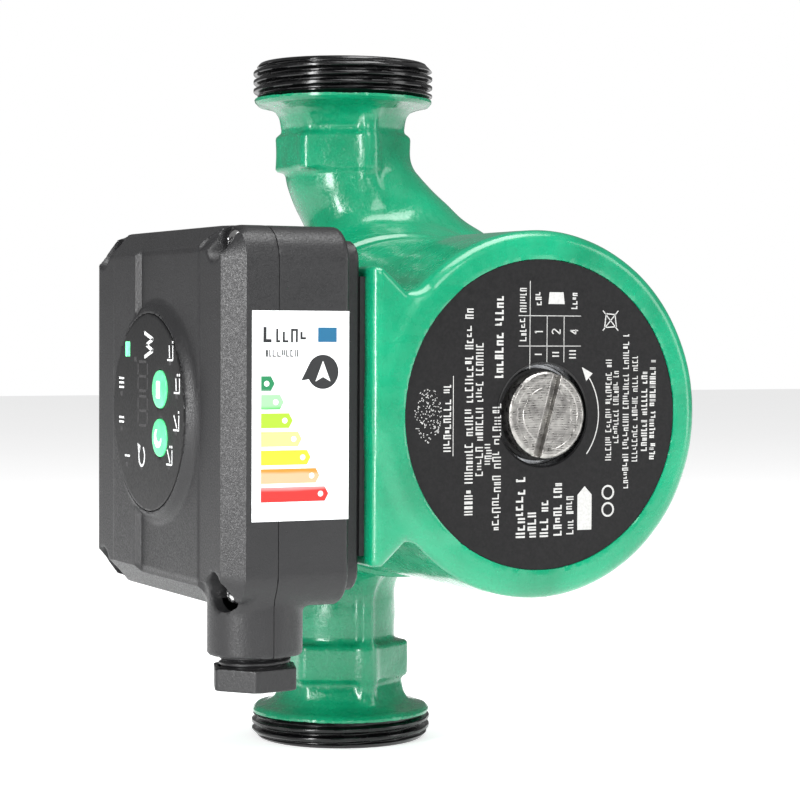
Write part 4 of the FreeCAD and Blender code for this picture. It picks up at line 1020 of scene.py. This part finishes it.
def board_laminate(name):
    """Circuit board: solder mask over a weave with lighter tracks."""
    finish = Finish(name, 0.4)
    tracks = finish.spread(finish.cells(3.2, "DISTANCE_TO_EDGE"), 0.02, 0.07)
    finish.link(finish.mix(tracks, paint(32, 122, 70), paint(12, 78, 44)), "Base Color")
    relief = finish.bump(tracks, 0.03)
    finish.bump(finish.bands(0.7, "Z"), 0.01, relief)
    return finish.material


def rubber(name):
    finish = Finish(name, 0.7)
    finish.link(finish.mix(finish.noise(2, 3), paint(20, 20, 21), paint(36, 36, 37)), "Base Color")
    finish.bump(finish.noise(0.3, 3), 0.02)
    return finish.material


def ceramic(name):
    finish = Finish(name, 0.35)
    finish.link(finish.mix(finish.noise(1.5, 4), paint(44, 44, 48), paint(70, 70, 76)), "Base Color")
    finish.bump(finish.noise(0.4, 3), 0.01)
    return finish.material


def window_black(name):
    """Tinted display window, smoother than the box."""
    finish = Finish(name, 0.3)
    mottle = finish.spread(finish.noise(8, 2), 0.3, 0.7)
    finish.link(finish.mix(mottle, paint(8, 8, 9), paint(15, 15, 16)), "Base Color")
    finish.set(Specular_IOR_Level=0.3)
    finish.link(finish.spread(finish.noise(0.5, 2), 0.3, 0.7, 0.28, 0.42), "Roughness")
    finish.bump(finish.noise(0.45, 2), 0.012)
    return finish.material


def button_rubber(name):
    """Mint push button; its faint mottled emission is painted glow, standing in for how brightly the mint
    plastic is lit.
    """
    finish = Finish(name, 0.35)
    mottle = finish.spread(finish.noise(3.0, 2), 0.3, 0.7)
    finish.link(finish.mix(mottle, paint(78, 214, 136), paint(104, 232, 158)), "Base Color")
    # Painted glow: emission that brightens the mint button.
    finish.link(finish.mix(finish.noise(3.0, 1), paint(58, 200, 120), paint(90, 224, 146)), "Emission Color")
    finish.set(Emission_Strength=0.25, Coat_Weight=0.3, Coat_Roughness=0.2)
    finish.bump(finish.noise(0.7, 2), 0.01)
    return finish.material


def lit(name, colour, strength):
    """Light that shows through the window; on the button icons the same glow is painted glow."""
    finish = Finish(name, 0.4)
    pale = tuple(min(1.0, c * 1.4 + 0.05) for c in colour[:3]) + (1.0,)
    glow = finish.mix(finish.spread(finish.noise(1.6, 2), 0.35, 0.65), colour, pale)
    finish.link(glow, "Base Color")
    finish.link(glow, "Emission Color")
    finish.set(Emission_Strength=strength)
    return finish.material


def bar_ink(name, colour):
    """Printed colour, made paler in wavy bands that run along z."""
    finish = Finish(name, 0.35)
    pale = tuple(min(1.0, c * 0.6 + 0.35) for c in colour[:3]) + (1.0,)
    wave = finish.bands(9.0, "Z", 1.5)
    finish.link(finish.mix(finish.spread(wave, 0.55, 0.75, 0.0, 0.55), colour, pale), "Base Color")
    finish.set(Coat_Weight=0.3, Coat_Roughness=0.15)
    finish.bump(finish.noise(0.4, 2), 0.004)
    return finish.material


def label_paper(name):
    finish = Finish(name, 0.4)
    finish.link(finish.mix(finish.noise(3, 3), paint(240, 243, 245), paint(249, 250, 251)), "Base Color")
    finish.bump(finish.noise(0.35, 3), 0.006)
    return finish.material


# ---------------------------------------------------------------- putting the pieces together

def solid(name, field, low, high, cell, material, body="root", stands_for=(), sharp=32):
    points, faces = contour(field, low, high, cell)
    return add_piece(name, new_mesh(name, points, faces, sharp), material, body, stands_for)


def build_pump():
    enamel = green_enamel("cast_enamel", 0.09, 0.22)
    black = thread_black("thread_black")
    solid("casting", casting_field, PUMP_LOW, PUMP_HIGH, 0.7, enamel, "root", ("pump_housing",),
          40)
    for name, level, inward, trim in (("inlet_end", 0.0, 1, INLET_TRIM),
                                      ("outlet_end", PORT_LENGTH, -1, 0.0)):
        points, faces = threaded_end(level, inward, trim)
        add_piece(name, new_mesh(name, points, faces, 50), black, "root", ())


def build_motor():
    enamel = green_enamel("can_enamel", 0.03, 0.12)
    solid("can_housing", motor_field, MOTOR_LOW, MOTOR_HIGH, 0.7, enamel, "root", ("motor_housing",),
          40)
    plate = plate_black("plate_black")
    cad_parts["nameplate"].data.materials.clear()
    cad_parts["nameplate"].data.materials.append(plate)
    print_mesh = sheet_mesh("nameplate_print", nameplate_shapes(), (0, PLATE_LOW[1] - 0.002, MIDDLE),
                            (0, 0, 1), (-1, 0, 0), 0.03)
    add_piece("nameplate_print", print_mesh, ink("plate_ink", paint(188, 188, 186)), "root", ())
    # Black sleeve lining the narrow gap between the bleed plug and its hole: painted shade, a dark part put
    # where that recess is only in shade.
    gap_shade_profile = [(9.95, 103.3), (9.95, 103.05), (PLUG_HOLE - 0.05, 103.05), (PLUG_HOLE - 0.05, FRONT - 0.25),
            (PLUG_HOLE - 0.5, FRONT - 0.3), (PLUG_HOLE - 0.6, 103.3)]
    points, faces = lathe(gap_shade_profile, 96, (0, 0, MIDDLE), (0, -1, 0), (1, 0, 0))
    add_piece("plug_gap_shade", new_mesh("plug_gap_shade", points, faces), thread_black("plug_gap_shade_black"), "root", ())
    nickel = turned_metal("plug_nickel", paint(176, 174, 170), paint(120, 118, 116), 0.55)
    solid("bleed_plug", plug_field, PLUG_LOW - 1, PLUG_HIGH + 1, 0.3, nickel, "vent_plug_body",
          ("vent_plug",), 30)


def build_box():
    plastic = grained_plastic("box_plastic", paint(30, 30, 31), 0.06)
    solid("box_base", base_field, BASE_LOW, BASE_HIGH, 0.65, plastic, "root", ("control_box_base",),
          35)
    solid("box_cover", cover_field, COVER_LOW - (0.5, 0, 0), COVER_HIGH, 0.55, plastic, "root",
          ("control_box_cover",), 35)
    zinc = cast_metal("screw_zinc", paint(214, 214, 214), paint(168, 168, 170), 0.24, 0.015, 0.5)
    heads = -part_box("cover_screws")[0][0] / MM

    def screws(place):
        body = np.full(len(place), np.inf)
        for side, level, turn in ((-1, -1, 0.3), (-1, 1, 0.9), (1, -1, 1.2), (1, 1, 0.6)):
            centre = (-heads, -BOX_CENTRE + SCREW_ACROSS * side, MIDDLE + SCREW_UP * level)
            body = np.minimum(body, cross_screw_field(place, centre, turn))
        return body

    low, high = mm_box("cover_screws")
    solid("cross_screws", screws, low, high, 0.3, zinc, "root", ("cover_screws",), 35)


def build_gland():
    plastic = grained_plastic("gland_plastic", paint(28, 28, 29), 0.05, 0.4, 0.5)
    points, faces = gland_thread()
    add_piece("gland_tube", new_mesh("gland_tube", points, faces, 40), plastic, "root", ("gland_body",))
    solid("gland_hex", nut_field, NUT_LOW, NUT_HIGH, 0.3, plastic, "gland_nut_body", ("gland_nut",),
          28)


BUTTONS = (("mode", 7.9, 5.5), ("speed", 7.9, -5.5))


def build_display():
    glass = window_black("window_black")

    def window(place):
        x, y, z = place.T
        out, across, up = -x, -y - BOX_CENTRE, z - MIDDLE
        body = extrude(np.hypot(across, up) - 22.7, out, WINDOW_FACE - 1.5, WINDOW_FACE, 0.35)
        for _, right, high in BUTTONS:
            body = np.maximum(body, -extrude(disc(across, up, 4.5, (right, high)), out, 60, 90))
        return body

    solid("window_disc", window, WINDOW_LOW, WINDOW_HIGH, 0.4, glass, "root", ("display_window",),
          30)
    origin = (-WINDOW_FACE, -BOX_CENTRE, MIDDLE)
    white = ink("display_ink", paint(236, 238, 238))
    add_piece("display_print",
              sheet_mesh("display_print", display_print_shapes(), origin, (0, 0, 1), (0, 1, 0), 0.03),
              white, "root", ())
    ghost = ink("display_ghost", paint(50, 49, 50))
    add_piece("display_segments",
              sheet_mesh("display_segments", display_digit_shapes(), origin, (0, 0, 1), (0, 1, 0), 0.02),
              ghost, "root", ())
    lamp = [round_bar((12.7, 11.6), (16.2, 14.6), 0.3)]
    add_piece("lit_mark", sheet_mesh("lit_mark", lamp, origin, (0, 0, 1), (0, 1, 0), 0.03),
              lit("lit_green", paint(96, 232, 150), 0.5), "root", ())
    mint = button_rubber("button_mint")
    for name, right, high in BUTTONS:
        top = -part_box(name + "_button")[0][0] / MM

        def cap(place, right=right, high=high, top=top):
            x, y, z = place.T
            out, across, up = -x, -y - BOX_CENTRE - right, z - MIDDLE - high
            radius = np.hypot(across, up)
            dome = (out - (top - 0.012 * radius * radius)) * 0.97
            body = meet(extrude(radius - 4.35, out, WINDOW_FACE - 1.6, top + 2, 0.3), dome, 0.4)
            stem = extrude(radius - 1.5, out, 75.4, WINDOW_FACE - 1)
            flange = extrude(radius - 5.2, out, WINDOW_FACE - 2.9, WINDOW_FACE - 2.1, 0.2)
            return np.minimum(np.minimum(body, stem), flange)

        low, upper = mm_box(name + "_button")
        solid(name + "_cap", cap, low, upper, 0.25, mint, name + "_button_body",
              (name + "_button",), 30)
        if name == "mode":
            icon = [round_bar((high - 2.1, -right - 1.25), (high + 1.9, -right + 1.0), 0.5)]
        else:
            outer = arc_points((high, -right), 2.3, 35, 250, 16)
            inner = arc_points((high + 0.65, -right - 0.55), 1.55, 250, 35, 16)
            icon = [outer + inner]
        plate = sheet_mesh(name + "_icon", icon, (-top + 0.06, -BOX_CENTRE, MIDDLE), (0, 0, 1), (0, 1, 0), 0.07)
        # The white icons glow: painted glow on white print, with no lamp behind it.
        add_piece(name + "_icon", plate, lit(name + "_white", paint(240, 250, 244), 0.3),
                  name + "_button_body", ())


BAR_COLOURS = ((18, 118, 72), (92, 176, 98), (150, 196, 40), (246, 228, 20), (244, 182, 40),
               (240, 128, 36), (224, 28, 22))


def build_label():
    """Rating label: the real one's coloured arrows, with its words and letters left out."""
    origin = (LABEL_LOW[0], LABEL_LOW[1], LABEL_HIGH[2])
    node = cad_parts["rating_label"]
    node.data.materials.clear()
    node.data.materials.append(label_paper("label_paper"))

    def add(name, shapes, finish, lift=0.03):
        mesh = sheet_mesh(name, shapes, origin, (1, 0, 0), (0, 0, 1), lift)
        add_piece(name, mesh, finish, "root", ())

    for index, colour in enumerate(BAR_COLOURS):
        top = -(14.2 + 4.02 * index)
        tip = 5.3 + 2.15 * index
        shape = [(2.1, top), (2.1, top - 3.2), (tip - 0.9, top - 3.2), (tip, top - 1.6), (tip - 0.9, top)]
        add(f"label_bar_{index + 1}", [shape], bar_ink(f"bar_ink_{index + 1}", paint(*colour)))
    chance = random.Random(3)
    dark = ink("label_ink", paint(24, 26, 28))
    words = dummy_line(2.6, 5.4, -6.9, 4.3, 0.17, chance) + dummy_line(5.6, 14.2, -6.9, 3.0, 0.17, chance)
    words += dummy_line(3.2, 11.2, -10.0, 1.5, 0.17, chance)
    badge = arc_points((16.8, -13.3), 3.75, 205, 505, 40)
    badge = badge + [(11.6, -15.2)]
    add("label_words", words + [badge], dark)
    spark = [[(16.8, -10.9), (15.0, -15.4), (16.8, -14.4), (18.6, -15.4)]]
    dots = [arc_points((5.3 + 2.15 * index - 1.9, -(15.8 + 4.02 * index)), 0.62, 0, 342, 19)
            for index in range(7)]
    add("label_marks", spark + dots, ink("label_white", paint(246, 248, 248)), 0.05)
    add("label_flag", [bar((15.6, -6.8), (20.1, -3.6))], bar_ink("flag_blue", paint(20, 92, 128)))


def finish_inside():
    """Finishes of the carried-over nodes that show only when the pump is opened."""
    by_slot = {
        "seal_rubber": rubber("seal_rubber"),
        "stainless": cast_metal("stainless", paint(196, 198, 200), paint(160, 162, 166), 0.25, 0.01),
        "screw_zinc": cast_metal("bolt_zinc", paint(206, 206, 206), paint(150, 150, 152), 0.3),
        "impeller_plastic": smooth_plastic("impeller_plastic", paint(58, 60, 64), 0.4),
        "bearing_ceramic": ceramic("bearing_ceramic"),
        "rotor_iron": cast_metal("rotor_iron", paint(120, 122, 126), paint(84, 86, 90), 0.45),
        "stator_iron": laminated_iron("stator_iron"),
        "winding_copper": wound_copper("winding_copper"),
        "bobbin_plastic": smooth_plastic("bobbin_plastic", paint(226, 224, 214), 0.4),
        "connector_plastic": smooth_plastic("connector_plastic", paint(232, 232, 226), 0.4),
        "board_green": board_laminate("board_laminate"),
        "display_module_grey": smooth_plastic("module_grey", paint(96, 98, 102), 0.45),
        "led_white": smooth_plastic("led_lens", paint(238, 238, 226), 0.2),
        "switch_black": smooth_plastic("switch_black", paint(26, 26, 28), 0.4),
        "capacitor_sleeve": smooth_plastic("capacitor_sleeve", paint(40, 60, 110), 0.25),
        "terminal_green": smooth_plastic("terminal_green", paint(36, 140, 80), 0.35),
    }
    skin = by_slot["stainless"]
    for name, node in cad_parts.items():
        if name in ("nameplate", "rating_label"):
            continue
        current = node.data.materials[0].name.split(".")[0] if node.data.materials else ""
        finish = by_slot.get(current, skin)
        node.data.materials.clear()
        node.data.materials.append(finish)


# ---------------------------------------------------------------- floor, light and camera

def build_floor():
    floor = bpy.data.meshes.new("floor")
    size = 3.0
    corners = [(-size, -size, 0), (size, -size, 0), (size, size, 0), (-size, size, 0)]
    floor.from_pydata(corners, [], [(0, 1, 2, 3)])
    piece = bpy.data.objects.new("floor", floor)
    bpy.context.scene.collection.objects.link(piece)
    finish = Finish("floor_white", 0.6)
    finish.link(finish.mix(finish.noise(300, 2), paint(244, 244, 245), paint(250, 250, 250)), "Base Color")
    finish.set(Emission_Color=(1, 1, 1, 1), Emission_Strength=0.6)
    floor.materials.append(finish.material)


def softbox(name, place, aim, wide, tall, power, colour=(1, 1, 1)):
    light = bpy.data.lights.new(name, "AREA")
    light.shape = "RECTANGLE"
    light.size, light.size_y = wide, tall
    light.energy = power
    light.color = colour
    lamp = bpy.data.objects.new(name, light)
    lamp.location = place
    lamp.rotation_euler = (Vector(aim) - Vector(place)).to_track_quat("-Z", "Y").to_euler()
    bpy.context.scene.collection.objects.link(lamp)


def build_light():
    world = bpy.data.worlds.new("studio")
    bpy.context.scene.world = world
    world.use_nodes = True
    nodes, links = world.node_tree.nodes, world.node_tree.links
    soft = nodes["Background"]
    soft.inputs["Color"].default_value = (1, 1, 1, 1)
    soft.inputs["Strength"].default_value = 0.22
    backdrop = nodes.new("ShaderNodeBackground")
    backdrop.inputs["Color"].default_value = (1, 1, 1, 1)
    backdrop.inputs["Strength"].default_value = 1.0
    seen = nodes.new("ShaderNodeMixShader")
    links.new(nodes.new("ShaderNodeLightPath").outputs["Is Camera Ray"], seen.inputs["Fac"])
    links.new(soft.outputs["Background"], seen.inputs[1])
    links.new(backdrop.outputs["Background"], seen.inputs[2])
    links.new(seen.outputs["Shader"], nodes["World Output"].inputs["Surface"])
    target = (0, -0.05, 0.09)
    softbox("key", (-0.87, -0.42, 0.20), target, 0.16, 0.8, 11)
    softbox("top", (0.10, -0.25, 1.00), target, 0.7, 0.5, 9)
    softbox("right", (0.80, -0.65, 0.35), target, 0.3, 0.8, 3)
    softbox("front", (-0.15, -1.1, 0.65), target, 0.6, 0.5, 6)


def build_camera():
    """Camera at the photo's angle: a little left of the motor's front, level with the pump's middle."""
    yaw, pitch, roll = math.radians(26.906), math.radians(-1.751), math.radians(0.277)
    ahead = Vector((math.sin(yaw) * math.cos(pitch), math.cos(yaw) * math.cos(pitch), math.sin(pitch)))
    side = Vector((math.cos(yaw), -math.sin(yaw), 0))
    over = side.cross(ahead)
    across = side * math.cos(roll) + over * math.sin(roll)
    upward = over * math.cos(roll) - side * math.sin(roll)
    lens = bpy.data.cameras.new("camera")
    lens.lens, lens.sensor_width = 106.26, 36.0
    camera = bpy.data.objects.new("camera", lens)
    place = Matrix((across, upward, -ahead)).transposed().to_4x4()
    place.translation = Vector((-0.2730, -0.5726, 0.1097))
    camera.matrix_world = place
    bpy.context.scene.collection.objects.link(camera)
    bpy.context.scene.camera = camera


finish_inside()
build_pump()
build_motor()
build_box()
build_gland()
build_display()
build_label()
build_floor()
build_light()
build_camera()
bpy.context.scene.view_settings.view_transform = "Standard"
